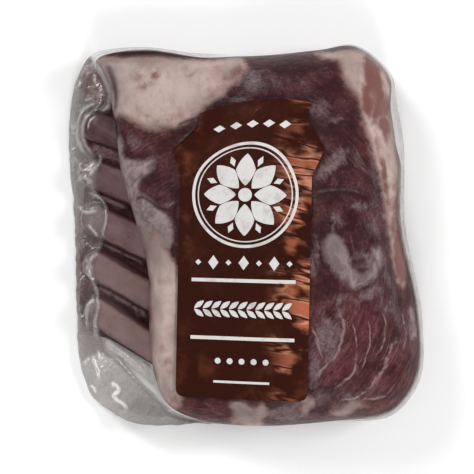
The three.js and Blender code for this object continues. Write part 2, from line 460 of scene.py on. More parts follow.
@dataclass(frozen=True)
class PackForm:
    """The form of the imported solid, which the bag and what is in it follow."""

    slab_outline: Outline = Outline((
        (-77.8, 91.1), (-54.3, 97.0), (-22.6, 93.1), (8.1, 93.1), (38.0, 96.0), (56.3, 97.8), (74.6, 82.3),
        (77.2, 69.0), (81.0, 46.0), (81.5, 5.9), (90.0, -38.2), (89.4, -72.6), (75.6, -91.2), (48.0, -95.1),
        (8.1, -98.0), (-22.6, -95.1), (-39.8, -87.2), (-47.1, -71.5), (-49.8, -48.0), (-50.7, -16.7),
        (-57.0, 7.8), (-64.3, 33.3), (-67.4, 57.8), (-71.5, 77.4),
    ))
    slab_centre: Point = (10.0, 0.0)
    slab_rim: float = 15.0  # height at which the slab is widest
    flap_round: float = 11.0
    loin_round: float = 21.0
    round_slope: Point = (-50.0, 10.0)  # where the first turns into the second
    base_round: float = 11.0
    flap_thickness: float = 27.0
    loin_rise: float = 16.5
    loin_slope: Point = (-52.0, 28.0)  # where it rises, from left to right
    side_drop: float = 3.5
    side_slope: Point = (52.0, 92.0)
    end_drop: float = 3.0
    half_length: float = 98.0
    mounds: tuple[Mound, ...] = (
        Mound(6.0, (-43.4, 68.6), (36.2, 33.3)),  # the fat cap
        Mound(2.8, (-43.0, -32.3), (10.0, 60.8)),  # the roll of fat along the ribs
        Mound(2.2, (59.7, -45.1), (31.7, 54.9)),  # the eye of the loin
    )
    rib_count: int = 5
    rib_pitch: float = 23.3
    rib_length: float = 64.0
    rib_width: float = 17.0
    rib_thickness: float = 9.5
    rib_tip: Point = (-85.5, 58.8)
    rib_tip_height: float = 8.6
    rib_slope: float = 4.0  # degrees
    rib_turn: float = -19.0  # degrees from +X, for the uppermost rib
    rib_fan: float = -3.5  # degrees more for each rib below it
    rib_set_back: float = 1.2
    under_relief: float = 2.2
    chine_flat: Point = (2.0, 24.0)  # where the ribs fade into it
    label_centre: Point = (-0.9, -6.9)
    label_turn: float = -1.2  # degrees
    label_askew: Point = (35.0, 80.0)  # over these heights it is laid more and more askew
    label_lean: float = 4.5
    label_tilt: float = 0.12
    label_steps: int = 4  # in which on_label gets there

    def slab_top(self, x: Array, y: Array) -> Array:
        """Height of the slab's upper side: a thin flap at the ribs, a thick loin, and mounds of fat."""
        loin = self.loin_rise * smoothstep(x, *self.loin_slope)
        loin -= self.side_drop * smoothstep(x, *self.side_slope)
        ends = self.end_drop * (y / self.half_length) ** 2
        return self.flap_thickness + loin - ends + sum(mound.rise(x, y) for mound in self.mounds)

    def slab_round(self, x: Array) -> Array:
        """How far in from its rim the slab keeps rising."""
        return lerp(self.flap_round, self.loin_round, smoothstep(x, *self.round_slope))

    def slab_inwards(self, x: Array, y: Array) -> Array:
        """How far inside the slab's rim a place lies, measured towards the slab's centre."""
        dx, dy = x - self.slab_centre[0], y - self.slab_centre[1]
        return self.slab_outline.reach(self.slab_centre, np.arctan2(dy, dx)) - np.hypot(dx, dy)

    @cached_property
    def ribs(self) -> list[Rib]:
        """The ribs, the uppermost first; the second one reaches furthest out."""
        tip_x, tip_y = self.rib_tip
        return [
            Rib(
                (tip_x + self.rib_set_back * abs(index - 1), tip_y - self.rib_pitch * index),
                self.rib_turn + self.rib_fan * index,
            )
            for index in range(self.rib_count)
        ]

    def ribs_below(self, x: Array, y: Array) -> Array:
        """How many ribs a place lies below the uppermost one."""
        turn = np.radians(self.rib_turn + self.rib_fan * (self.rib_tip[1] - y) / self.rib_pitch)
        return (self.rib_tip[1] + (x - self.rib_tip[0]) * np.tan(turn) - y) / self.rib_pitch

    def on_ribs(self, x: Array, y: Array) -> Array:
        """1 over or under a rib, and 0 between two."""
        return smoothstep(np.cos(2 * math.pi * self.ribs_below(x, y)), 0.0, 0.7)

    def rib_crown(self, x: Array, y: Array, spare: float, power: float) -> Array:
        """Height of the ribs' upper sides, or of a film over them, and -FAR between them.

        Args:
            x: places across.
            y: places along.
            spare: by how much the surface is wider and higher than the bones.
            power: how square the section is; 2 is an ellipse.

        Returns:
            The heights.
        """
        crown = np.full(x.shape, -FAR)
        half = self.rib_width / 2 + spare
        for rib in self.ribs:
            along, across = rib.local(x, y)
            out = np.hypot(np.minimum(along + spare - half, 0.0), across) / half
            arch = (1.0 - np.clip(out, 0.0, 1.0) ** power) ** (1.0 / power)
            axis = self.rib_tip_height + np.clip(along, 0.0, None) * math.tan(math.radians(self.rib_slope))
            z = axis + (self.rib_thickness / 2 + spare) * arch
            crown = np.where(out < 1.0, np.maximum(crown, z), crown)
        return crown

    def underside(self, x: Array, y: Array) -> Array:
        """Height of the underside: hollows between the ribs, fading into the flat sawn chine."""
        hollow = 0.5 - 0.5 * np.cos(2 * math.pi * self.ribs_below(x, y))
        return self.under_relief * hollow * (1.0 - smoothstep(x, *self.chine_flat))

    def label_place(self, u: Array, v: Array) -> tuple[Array, Array]:
        """Where places on the label lie on the pack.

        Args:
            u: how far right of the label's middle they are.
            v: how far up.

        Returns:
            The places across and along.
        """
        askew = smoothstep(v, *self.label_askew)
        right, up = u + self.label_lean * askew, v + self.label_tilt * u * askew
        x, y = turned(right, up, -self.label_turn)
        return x + self.label_centre[0], y + self.label_centre[1]

    def on_label(self, x: Array, y: Array) -> tuple[Array, Array]:
        """The opposite of label_place, found in a few steps because the label's crown is askew.

        Args:
            x: places across.
            y: places along.

        Returns:
            How far right and up of the label's middle each place lies, on the label.
        """
        right, up = turned(x - self.label_centre[0], y - self.label_centre[1], self.label_turn)
        u, v = right, up
        for _ in range(self.label_steps):
            askew = smoothstep(v, *self.label_askew)
            u, v = right - self.label_lean * askew, up - self.label_tilt * u * askew
        return u, v


FORM = PackForm()


def cushion_places(
    a: Array, b: Array, reach: Callable[[Array], Array], centre: Point, slimness: float, crowding: float
) -> tuple[Array, Array, Array]:
    """Spreads the corners of a square grid over a rounded outline.

    Args:
        a: the corners' places across the grid, from -1 to 1.
        b: their places along it.
        reach: how far the outline reaches from the centre at an angle.
        centre: the middle of the outline.
        slimness: the outline's length in widths.
        crowding: how much finer the cells get towards the rim, from 0 to 1.

    Returns:
        The places across and along, and how far each lies inside the outline.
    """
    ring = np.maximum(np.abs(a), np.abs(b))
    spread = lerp(ring, np.sin(ring * math.pi / 2), crowding)
    angle = np.arctan2(b * slimness, a)
    full = reach(angle)
    return (
        centre[0] + spread * full * np.cos(angle),
        centre[1] + spread * full * np.sin(angle),
        (1.0 - spread) * full,
    )


# ---------------------------------------------------------------- regions of the meat, seen from above


GRAIN_CENTRE: Point = (-16.0, -18.0)  # the muscle fibres lie in rings round it
GRAIN_TURN = 60.0  # how many millimetres along the fibres a radian of turn counts for
FAT_CAP = Outline((
    (-78, 91), (-65, 91), (-49, 91), (-31, 90), (-16, 90), (-3, 91), (1, 85), (-4, 78), (-10, 72), (-19, 66),
    (-26, 59), (-33, 55), (-41, 54), (-49, 53), (-55, 56), (-62, 60), (-68, 62), (-70, 67), (-72, 76),
    (-76, 84),
))
SIDE_STRIPE = Outline((
    (35, 92), (39, 89), (46, 87), (48, 80), (51, 74), (55, 70), (57, 63), (58, 57), (61, 50), (64, 41),
    (66, 32), (69, 20), (71, 6), (73, -8), (76, -22), (79, -26), (82, -7), (83, 8), (83, 23), (82, 36),
    (80, 49), (78, 59), (77, 68), (76, 75), (74, 82), (70, 90), (63, 95), (53, 94), (44, 93),
))
FAT_ROLL = Outline((
    (-50, -4), (-46, 1), (-40, -6), (-36, -13), (-33, -22), (-31, -32), (-30, -43), (-30, -60), (-31, -78),
    (-36, -89), (-42, -86), (-47, -79), (-46.5, -70), (-49, -62), (-50, -50), (-48.5, -41), (-50, -32),
    (-49, -24), (-52, -15),
))
FAT_KNOBS = (
    Outline(((-8, -85), (-2, -82), (3, -85), (8, -84), (11, -89), (8, -93), (9, -97), (1, -99), (-3, -95),
             (-7, -96), (-6, -90))),
    Outline(((27, -83), (30, -81), (34, -81.5), (35, -85), (32, -86), (31, -90), (28, -88))),
    Outline(((43, -89), (47, -86), (52, -82.5), (58, -83), (61, -85), (56, -86.5), (52, -90), (47, -91))),
)
GREY_FATS = (
    Outline(((39, -2), (43, 1), (47, -1), (50, -6), (52, -14), (57, -21), (56, -26), (51, -25), (46, -20),
             (41, -13), (38, -8))),
    Outline(((50, -19), (54, -23), (60, -24), (65, -19), (68, -12), (67, -7), (63, -6), (63, -12), (61, -17),
             (57, -19), (53, -17))),
    Outline(((-64, 50), (-62, 40), (-55, 38), (-46, 39), (-47, 35), (-53, 29), (-56, 22), (-59, 17),
             (-63, 24), (-67, 37), (-67, 47))),
    Outline(((-56, 23), (-52, 21), (-44, 14), (-39, 10), (-37, 4), (-38, -4), (-46, -7), (-53, -6), (-58, 6),
             (-59, 15))),
)
RED_MUSCLES = (
    Outline(((-64, 57), (-56, 55), (-46, 52), (-40, 53), (-37, 49), (-39, 43), (-46, 39), (-52, 40),
             (-57, 47))),
    Outline(((-54, 28), (-48, 36), (-41, 39), (-34, 37), (-32, 29), (-35, 20), (-41, 16), (-47, 20))),
)


@dataclass(frozen=True)
class Cloud:
    """A soft-edged oval of some tint, turned anticlockwise by some degrees."""

    strength: float
    middle: Point
    half: Point
    turn: float = 0.0

    def density(self, x: Array, y: Array) -> Array:
        """The tint's strength at each place."""
        across, along = turned(x - self.middle[0], y - self.middle[1], self.turn)
        return self.strength * np.exp(-((across / self.half[0]) ** 2 + (along / self.half[1]) ** 2))


def density(clouds: Sequence[Cloud], x: Array, y: Array) -> Array:
    """The strongest tint of several clouds at each place."""
    return np.max([cloud.density(x, y) for cloud in clouds], axis=0)


VEILS = (  # silverskin on the muscle
    Cloud(0.90, (3, 80), (9, 10)), Cloud(0.35, (20, 85), (15, 5)), Cloud(0.50, (31, 76), (9, 8)),
    Cloud(0.80, (38, 63), (9, 9)), Cloud(0.80, (44, 58), (6, 3)), Cloud(1.15, (43, 36), (15, 5), 42.0),
    Cloud(1.05, (58, -12), (7, 6)), Cloud(0.90, (56, 15), (8, 3), -5.0), Cloud(0.85, (45, 7), (6, 9)),
    Cloud(0.70, (68, 10), (6, 3)),
    Cloud(1.00, (34, -12), (4, 12)), Cloud(0.95, (61, -29), (11, 4), 20.0),
    Cloud(0.85, (47, -31), (9, 4), 25.0),
    Cloud(1.15, (41, -50), (8, 15)), Cloud(1.00, (34, -65), (5, 14)), Cloud(0.60, (71, -37), (6, 3)),
    Cloud(1.25, (20, -89), (13, 6)), Cloud(0.30, (-34, -1), (4, 12)), Cloud(0.95, (-57, 48), (7, 7)),
    Cloud(0.70, (-26, 51), (8, 4)), Cloud(0.90, (84, -45), (3, 12)), Cloud(0.65, (56, 40), (8, 14)),
    Cloud(0.75, (52, -84), (12, 5)), Cloud(0.80, (-14, 70), (8, 5), 30.0),
)
FLUSHES = (  # redder and lighter muscle
    Cloud(1.05, (62, -62), (34, 40)), Cloud(2.20, (-21, -88), (26, 11)), Cloud(1.35, (-47, 47), (12, 9)),
    Cloud(0.70, (-43, 29), (6, 9)), Cloud(0.70, (62, 38), (7, 34), 12.0), Cloud(0.80, (75, -20), (9, 30)),
    Cloud(0.60, (48, 74), (6, 14), 15.0),
)
BLUSHES = (  # pink and brownish stains in the fat
    Cloud(0.80, (-55, 80.5), (6, 5), -15.0), Cloud(1.00, (-49.5, 76.5), (5, 3), 30.0),
    Cloud(0.90, (-46, 81), (3, 5)), Cloud(0.75, (-4, 80), (10, 14)), Cloud(0.60, (-28, 83), (4, 7)),
    Cloud(0.75, (-42, -56), (4, 4)), Cloud(0.70, (-49, -27), (2.5, 5)), Cloud(0.80, (-38, -66), (5, 6)),
    Cloud(2.10, (64.0, 79), (4.6, 14), 8.0), Cloud(2.40, (65.0, 67), (6.8, 10), 18.0),
    Cloud(1.80, (69.5, 56), (3.4, 9), 16.0), Cloud(0.90, (67, 40), (3, 16), 10.0),
    Cloud(1.30, (69.5, 28), (2.4, 20), 8.0), Cloud(1.10, (76, 8), (5, 24)), Cloud(2.60, (79, -8), (5, 16)),
    Cloud(0.75, (-36, 60), (18, 4), 5.0), Cloud(0.80, (-14, 72), (9, 5), 30.0),
    Cloud(0.70, (3, -95), (9, 4)), Cloud(0.80, (-36, -84), (6, 6)),
)
SHADES = (  # greyer and darker fat, with painted shade along the fat cap's left and lower edges
    Cloud(0.90, (-70, 80), (11, 16), 10.0), Cloud(0.50, (-52, 88), (22, 6)), Cloud(0.60, (-5, 80), (8, 12)),
    Cloud(0.45, (-45, 55), (22, 3)), Cloud(0.80, (44, -4), (8, 9)), Cloud(0.55, (-45, -35), (3, 7)),
    Cloud(0.35, (53, 87), (9, 8)), Cloud(0.50, (60, -16), (8, 6)),
    Cloud(0.50, (-39, -22), (6, 3)), Cloud(0.90, (-48, -52), (3, 8)), Cloud(0.50, (-35, -48), (3, 12)),
    Cloud(0.60, (-56, 43), (4, 3)), Cloud(0.45, (-62, 50), (3, 9)), Cloud(0.55, (53, 66), (4, 14), 15.0),
    Cloud(0.78, (-46, -6), (12, 14)), Cloud(0.60, (-49, -40), (3, 40)), Cloud(0.90, (1, -88), (12, 9)),
    Cloud(0.60, (31, -85), (6, 6)), Cloud(0.70, (52, -86), (12, 6)), Cloud(0.55, (79, 20), (5, 40)),
    Cloud(0.45, (-20, 66), (10, 6)), Cloud(0.45, (-40, -80), (10, 14)),
)
SINEWS = (
    Line(((75.5, -48.5), (72.5, -57), (69, -64.5), (64.5, -71.5), (59.5, -79)), 1.30),
    Line(((44.5, -32.5), (47.5, -39), (48.5, -45.5), (47, -54), (44.5, -59.5), (40, -64.5), (37, -68.5),
          (36, -72)), 1.05),
    Line(((33, -45), (36, -53), (38, -62)), 0.80),
    Line(((55.5, -56), (55, -62.5), (53, -68.5), (48.5, -72.5), (43, -77)), 0.80),
    Line(((46, -82), (54, -81), (61.5, -76.5)), 0.70),
    Line(((57.5, -81), (64.5, -81.5), (71.5, -80)), 0.75),
    Line(((82.5, -34), (84, -42), (84.5, -55)), 1.60),
    Line(((77.5, -38), (80, -47), (78.5, -58)), 0.60),
    Line(((52.5, -42), (54.5, -49.5), (55.5, -56)), 0.50),
    Line(((68, -37), (69.5, -44.5), (68, -54), (64, -62)), 0.60),
    Line(((60, -40), (62, -50), (60, -60), (57, -67)), 0.50),
    Line(((52, -25), (56, -24.5), (61, -21), (64.5, -17)), 0.80),
)
CLEFTS = (  # narrow grooves between muscles and along the fat, which the finish darkens with painted shade
    Line(((16, 21), (26, 20.5), (34, 20), (42, 21.5), (52.5, 21.5), (60, 19), (66, 16.5)), 1.5, 1.2),
    Line(((37, 94), (48, 95.5), (57, 96), (64, 93.5), (70.8, 86), (74.8, 78), (77.2, 66), (78.5, 58)),
         1.3, 0.7),
    Line(((-68, 90.5), (-57, 92.6), (-46, 93.1), (-38, 92.6), (-29, 90.6)), 1.5, 0.9),
    Line(((-72, 89), (-69, 84), (-67, 78), (-65.6, 72), (-65.8, 66), (-68, 60)), 1.2, 1.0),
    Line(((-36, 55), (-28, 58.5), (-20, 60)), 0.9, 0.6),
    Line(((-66, 56), (-62, 52), (-60, 45), (-57, 40.5)), 0.8, 0.5),
    Line(((-57, 18), (-52, 19.5), (-45, 15), (-38, 11)), 0.9, 0.6),
    Line(((-31, 32), (-33, 20), (-36, 12), (-34, 3), (-33, -6)), 1.4, 0.6),
    Line(((33, -8), (36, -18), (42, -26), (50, -28)), 0.9, 0.5),
    Line(((52, -12), (56, -13), (60, -11)), 2.4, 0.5),
    Line(((30, 62), (35, 55), (34, 46), (30, 38)), 1.6, 0.5),
)
GRISTLES = (  # pale strips between the ribs
    Line(((-81, 46), (-70, 42.5), (-54, 37.5)), 4.4, 2.6),
    Line(((-78, 21.5), (-70, 18.3), (-60, 14)), 2.0, 1.8),
    Line(((-77, -2), (-64, -8.5), (-50, -15)), 1.7, 1.8),
    Line(((-78, -24.5), (-62.5, -33.5), (-47, -43.5)), 2.6, 2.4),
)


# ---------------------------------------------------------------- shader nodes

Value = Socket | float | Sequence[float]
Inputs = dict[str | int, Value]

WHITE = (1.0, 1.0, 1.0, 1.0)


class Nodes:
    """Adds shader nodes to one tree and wires them up."""

    def __init__(self, tree: bpy.types.NodeTree) -> None:
        """Starts on a tree that is already there."""
        self.tree = tree

    def add(self, kind: str, inputs: Inputs | None = None, **settings: object) -> bpy.types.Node:
        """Adds a node.

        Args:
            kind: the node's type, without its ShaderNode prefix.
            inputs: what its sockets are fed, by name or number.
            settings: its other properties.

        Returns:
            The node.
        """
        node = self.tree.nodes.new("ShaderNode" + kind)
        for name, value in settings.items():
            setattr(node, name, value)
        return self.feed(node, inputs or {})

    def feed(self, node: bpy.types.Node, inputs: Inputs) -> bpy.types.Node:
        """Wires or sets some of a node's sockets, by name or number, and gives the node back."""
        for key, value in inputs.items():
            if isinstance(value, Socket):
                self.tree.links.new(value, node.inputs[key])
            else:
                node.inputs[key].default_value = value
        return node

    def math(self, operation: str, first: Value, second: Value = 0.0, clamp: bool = False) -> Socket:
        """The result of one sum on numbers."""
        return self.add("Math", {0: first, 1: second}, operation=operation, use_clamp=clamp).outputs[0]

    def inverse(self, share: Value) -> Socket:
        """What a share leaves of 1."""
        return self.math("SUBTRACT", 1.0, share)

    def from_middle(self, noise: Value) -> Socket:
        """How far some noise lies from its middle value."""
        return self.math("ABSOLUTE", self.math("SUBTRACT", noise, 0.5))

    def mix(self, share: Value, first: Value, second: Value) -> Socket:
        """A colour between two others."""
        colours = [c if isinstance(c, Socket) else (*c, 1.0) for c in (first, second)]
        node = self.add("Mix", {0: share, 6: colours[0], 7: colours[1]}, data_type="RGBA")
        return node.outputs[2]

    def rise(self, value: Value, low: Value, high: Value) -> Socket:
        """0 below low, 1 above high, and a smooth rise in between."""
        inputs = {"Value": value, "From Min": low, "From Max": high}
        return self.add("MapRange", inputs, interpolation_type="SMOOTHSTEP").outputs["Result"]

    def noise(
        self, place: Value, pitch: float, detail: float = 2.0, roughness: float = 0.5, swirl: float = 0.0
    ) -> Socket:
        """Random bumps from 0 to 1, at a place in millimetres.

        Args:
            place: where.
            pitch: how many millimetres they are apart.
            detail: how many finer layers of bumps are added.
            roughness: how strong those are.
            swirl: how far the bumps are drawn out into swirls.

        Returns:
            The height of the bumps.
        """
        inputs = {"Vector": place, "Scale": 1.0 / pitch, "Detail": detail, "Roughness": roughness}
        inputs["Distortion"] = swirl
        return self.add("TexNoise", inputs).outputs[0]

    def millimetres(self) -> Socket:
        """The place on the piece, in millimetres."""
        place = self.add("TexCoord").outputs["Object"]
        return self.add("VectorMath", {0: place, "Scale": 1.0 / MM}, operation="SCALE").outputs[0]

    def stretched(self, place: Value, scale: Sequence[float], turn: float = 0.0) -> Socket:
        """A place turned about Z, in degrees, and then squeezed along each axis."""
        turned = self.add("Mapping", {"Vector": place, "Rotation": (0.0, 0.0, math.radians(turn))}).outputs[0]
        return self.add("VectorMath", {0: turned, 1: scale}, operation="MULTIPLY").outputs[0]

    def attribute(self, name: str) -> Socket:
        """A number that each vertex carries."""
        return self.add("Attribute", attribute_name=name).outputs["Fac"]

    def film_bump(self, place: Value, pitch: float, depth: float, normal: Value | None = None) -> Value:
        """A normal bent by the fine wrinkles of shrunk film, this far apart and this deep."""
        height = self.group(film_wrinkle_group(), {"Place": place, "Pitch": pitch}).outputs["Height"]
        return self.bump(height, depth, normal)

    def bump(self, height: Value, depth: float, normal: Value | None = None) -> Socket:
        """A normal bent by relief of this depth, in millimetres."""
        inputs: Inputs = {"Height": height, "Distance": depth * MM, "Strength": 1.0}
        if normal is not None:
            inputs["Normal"] = normal
        return self.add("Bump", inputs).outputs[0]

    def group(self, tree: bpy.types.NodeTree, inputs: Inputs) -> bpy.types.Node:
        """A node group with its own values."""
        node = self.add("Group")
        node.node_tree = tree
        return self.feed(node, inputs)


def new_material(name: str) -> tuple[Material, Nodes, bpy.types.Node]:
    """A new material.

    Returns:
        The material, its nodes, and its Principled node.
    """
    material = bpy.data.materials.new(name)
    material.use_nodes = True
    nodes = Nodes(material.node_tree)
    return material, nodes, material.node_tree.nodes["Principled BSDF"]


def new_group(
    name: str, inputs: Sequence[str], outputs: Sequence[str]
) -> tuple[Nodes, bpy.types.Node, bpy.types.Node]:
    """A new node group whose sockets are numbers, apart from one called Place.

    Returns:
        Its nodes, its input node and its output node.
    """
    tree = bpy.data.node_groups.new(name, "ShaderNodeTree")
    for socket in inputs:
        kind = "NodeSocketVector" if socket == "Place" else "NodeSocketFloat"
        tree.interface.new_socket(socket, in_out="INPUT", socket_type=kind)
    for socket in outputs:
        tree.interface.new_socket(socket, in_out="OUTPUT", socket_type="NodeSocketFloat")
    source = tree.nodes.new("NodeGroupInput")
    result = tree.nodes.new("NodeGroupOutput")
    return Nodes(tree), source, result


@cache
def ragged_edge_group() -> bpy.types.NodeTree:
    """The group that turns a depth inside a region into a mask with a ragged, soft edge."""
    nodes, source, result = new_group("Ragged edge", ("Place", "Depth", "Raggedness", "Softness"), ("Mask",))
    place = source.outputs["Place"]
    coarse = nodes.math("SUBTRACT", nodes.noise(place, 6.0, detail=6.0, roughness=0.68), 0.5)
    ragged = nodes.math("MULTIPLY", coarse, source.outputs["Raggedness"])
    depth = nodes.math("ADD", source.outputs["Depth"], ragged)
    low = nodes.math("MULTIPLY", source.outputs["Softness"], -1.0)
    nodes.feed(result, {"Mask": nodes.rise(depth, low, source.outputs["Softness"])})
    return nodes.tree


@cache
def film_wrinkle_group() -> bpy.types.NodeTree:
    """The group for fine wrinkles in shrunk film, which the film and what it presses on share."""
    nodes, source, result = new_group("Film wrinkles", ("Place", "Pitch"), ("Height",))
    squeezed = nodes.stretched(source.outputs["Place"], (1.0, 0.45, 1.0), turn=28.0)
    scale = nodes.math("DIVIDE", 1.0, source.outputs["Pitch"])
    inputs = {"Vector": squeezed, "Scale": scale, "Detail": 3.0, "Distortion": 0.6}
    soft = nodes.add("TexNoise", inputs).outputs[0]
    height = nodes.math("SUBTRACT", 1.0, nodes.math("MULTIPLY", nodes.from_middle(soft), 4.0), clamp=True)
    nodes.feed(result, {"Height": height})
    return nodes.tree


# ---------------------------------------------------------------- finishes

@dataclass(frozen=True)
class MeatFinish:
    """Moist raw lamb: dark muscle, cream-pink fat, grey silverskin and membranes, and pale sinews, with
    painted shade in the clefts and along the fat's edges.
    """

    name: str = "raw meat"
    dark: Colour = (0.030, 0.0065, 0.0085)
    middle: Colour = (0.062, 0.0165, 0.0180)
    flushed: Colour = (0.130, 0.0325, 0.0355)
    strand: Colour = (0.205, 0.108, 0.108)
    silver: Colour = (0.205, 0.142, 0.146)
    sinew_pale: Colour = (0.310, 0.200, 0.198)
    fat_cream: Colour = (0.520, 0.400, 0.355)
    fat_rose: Colour = (0.430, 0.300, 0.270)
    blush: Colour = (0.170, 0.055, 0.048)
    # greyer fat, and painted shade at the fat cap's edges
    shade: Colour = (0.190, 0.145, 0.135)
    grey_pale: Colour = (0.315, 0.242, 0.234)
    grey_dark: Colour = (0.150, 0.105, 0.105)
    bone: Colour = (0.330, 0.225, 0.200)
    specular: float = 0.20

    def grain(self, nodes: Nodes, place: Socket) -> Socket:
        """Coordinates that run across and along the muscle fibres, which lie in rings round one centre."""
        split = nodes.add("SeparateXYZ", {0: place}).outputs
        across = nodes.math("SUBTRACT", split[0], GRAIN_CENTRE[0])
        along = nodes.math("SUBTRACT", split[1], GRAIN_CENTRE[1])
        squares = (nodes.math("MULTIPLY", across, across), nodes.math("MULTIPLY", along, along))
        radius = nodes.math("SQRT", nodes.math("ADD", *squares))
        turn = nodes.math("MULTIPLY", nodes.math("ARCTAN2", along, across), GRAIN_TURN)
        return nodes.add("CombineXYZ", {0: radius, 1: turn, 2: split[2]}).outputs[0]

    def region(self, nodes: Nodes, place: Value, name: str, ragged: float, soft: float) -> Value:
        """The mask of a region whose depth the mesh carries."""
        inputs = {"Place": place, "Depth": nodes.attribute(name), "Raggedness": ragged, "Softness": soft}
        return nodes.group(ragged_edge_group(), inputs).outputs["Mask"]

    def clouded(self, nodes: Nodes, noise: Value, name: str, low: float = 0.44, high: float = 0.72) -> Value:
        """The mask of a tint that the mesh carries as a density, broken up by some noise."""
        lift = nodes.math("MULTIPLY", nodes.math("SUBTRACT", nodes.attribute(name), 0.5), 0.45)
        return nodes.rise(nodes.math("ADD", noise, lift), low, high)

    def muscle(self, nodes: Nodes, place: Value, grain: Value, wisps: Value) -> Socket:
        """The colour of bare muscle: lumps, strands and veins along the grain, and lacy silverskin.

        Args:
            nodes: the material's nodes.
            place: the place in millimetres.
            grain: the same across and along the fibres.
            wisps: noise drawn out along them.

        Returns:
            The colour.
        """
        lumps = nodes.rise(nodes.noise(place, 10.0, detail=6.0, roughness=0.70), 0.40, 0.62)
        colour = nodes.mix(lumps, self.dark, self.middle)
        flush, veil = nodes.attribute("flush"), nodes.attribute("veil")
        fine = nodes.stretched(grain, (0.46, 0.075, 0.4))
        fibres = nodes.noise(fine, 1.0, detail=6.0, roughness=0.68, swirl=1.0)
        patchy = nodes.rise(nodes.noise(place, 16.0, detail=4.0, roughness=0.6), 0.42, 0.62)
        reds = nodes.math("MULTIPLY", flush, nodes.rise(fibres, 0.34, 0.60))
        reds = nodes.math("MULTIPLY", reds, nodes.math("ADD", 0.20, nodes.math("MULTIPLY", patchy, 0.80)))
        colour = nodes.mix(reds, colour, self.flushed)
        coarse = nodes.stretched(grain, (0.22, 0.10, 0.2))
        ridges = nodes.noise(coarse, 1.0, detail=3.0, roughness=0.6, swirl=1.6)
        vein = nodes.inverse(nodes.rise(nodes.from_middle(ridges), 0.0, 0.028))
        force = nodes.math("MULTIPLY", patchy, nodes.math("ADD", 0.08, nodes.math("MULTIPLY", veil, 0.45)))
        lines = nodes.math("MULTIPLY", vein, force)
        force = nodes.math("ADD", 0.06, nodes.math("MULTIPLY", flush, 0.42))
        force = nodes.math("MULTIPLY", nodes.math("ADD", 0.30, patchy), force)
        strands = nodes.math("MULTIPLY", nodes.rise(fibres, 0.54, 0.66), force)
        colour = nodes.mix(nodes.math("MAXIMUM", lines, strands), colour, self.strand)
        slanted = nodes.stretched(place, (0.26, 0.16, 0.2), turn=20.0)
        threads = nodes.noise(slanted, 1.0, detail=4.0, swirl=1.8)
        thread = nodes.inverse(nodes.rise(nodes.from_middle(threads), 0.0, 0.035))
        thread = nodes.math("MULTIPLY", thread, nodes.rise(lumps, 0.1, 0.9))
        colour = nodes.mix(nodes.math("MULTIPLY", thread, 0.34), colour, self.strand)
        lace = nodes.rise(nodes.noise(place, 2.6, detail=5.0, roughness=0.72, swirl=0.9), 0.38, 0.62)
        lace = nodes.math("ADD", 0.30, nodes.math("MULTIPLY", lace, 0.60))
        skin = nodes.math("MULTIPLY", self.clouded(nodes, wisps, "veil", 0.48, 0.74), lace)
        return nodes.mix(skin, colour, self.silver)

    def fat(self, nodes: Nodes, place: Value) -> Socket:
        """The colour of fat: creamy with rosy clouds, stained and shaded where the mesh says so, with painted
        shade along its edges.
        """
        clouds = nodes.rise(nodes.noise(place, 15.0, detail=6.0, roughness=0.68), 0.42, 0.68)
        drawn = nodes.stretched(place, (0.24, 0.13, 0.2), turn=-6.0)
        streaks = nodes.noise(drawn, 1.0, detail=5.0, roughness=0.66)
        spots = nodes.noise(place, 6.5, detail=6.0, roughness=0.62, swirl=0.25)
        colour = nodes.mix(clouds, self.fat_cream, self.fat_rose)
        colour = nodes.mix(nodes.math("MULTIPLY", nodes.rise(streaks, 0.44, 0.70), 0.30), colour, self.shade)
        blush = self.clouded(nodes, spots, "blush", 0.40, 0.90)
        # Greyer fat where the shade attribute says, partly painted shade at the fat cap's edges.
        shade = nodes.math("MULTIPLY", nodes.attribute("shade"), nodes.math("ADD", 0.45, spots), clamp=True)
        colour = nodes.mix(shade, colour, self.shade)
        # Painted shade, in the blush colour, along the fat's edges.
        rim = nodes.inverse(nodes.rise(nodes.attribute("fat"), 0.0, 4.0))
        rim = nodes.math("MULTIPLY", rim, 0.45)
        return nodes.mix(nodes.math("MAXIMUM", rim, nodes.math("MULTIPLY", blush, 0.92)), colour, self.blush)

    def sinew(self, nodes: Nodes, place: Value) -> Socket:
        """The mask of the sinews, wavy, uneven, and soft at their sides and their ends."""
        waves = nodes.math("SUBTRACT", nodes.noise(place, 7.0, detail=3.0, roughness=0.6), 0.5)
        away = nodes.math("ADD", nodes.attribute("sinew"), nodes.math("MULTIPLY", waves, 4.5))
        line = nodes.inverse(nodes.rise(nodes.math("ABSOLUTE", away), 0.0, 1.2))
        beads = nodes.rise(nodes.noise(place, 3.0, detail=2.0), 0.38, 0.60)
        uneven = nodes.math("ADD", 0.35, beads, clamp=True)
        return nodes.math("MULTIPLY", nodes.math("MULTIPLY", line, uneven), nodes.attribute("sinew_force"))

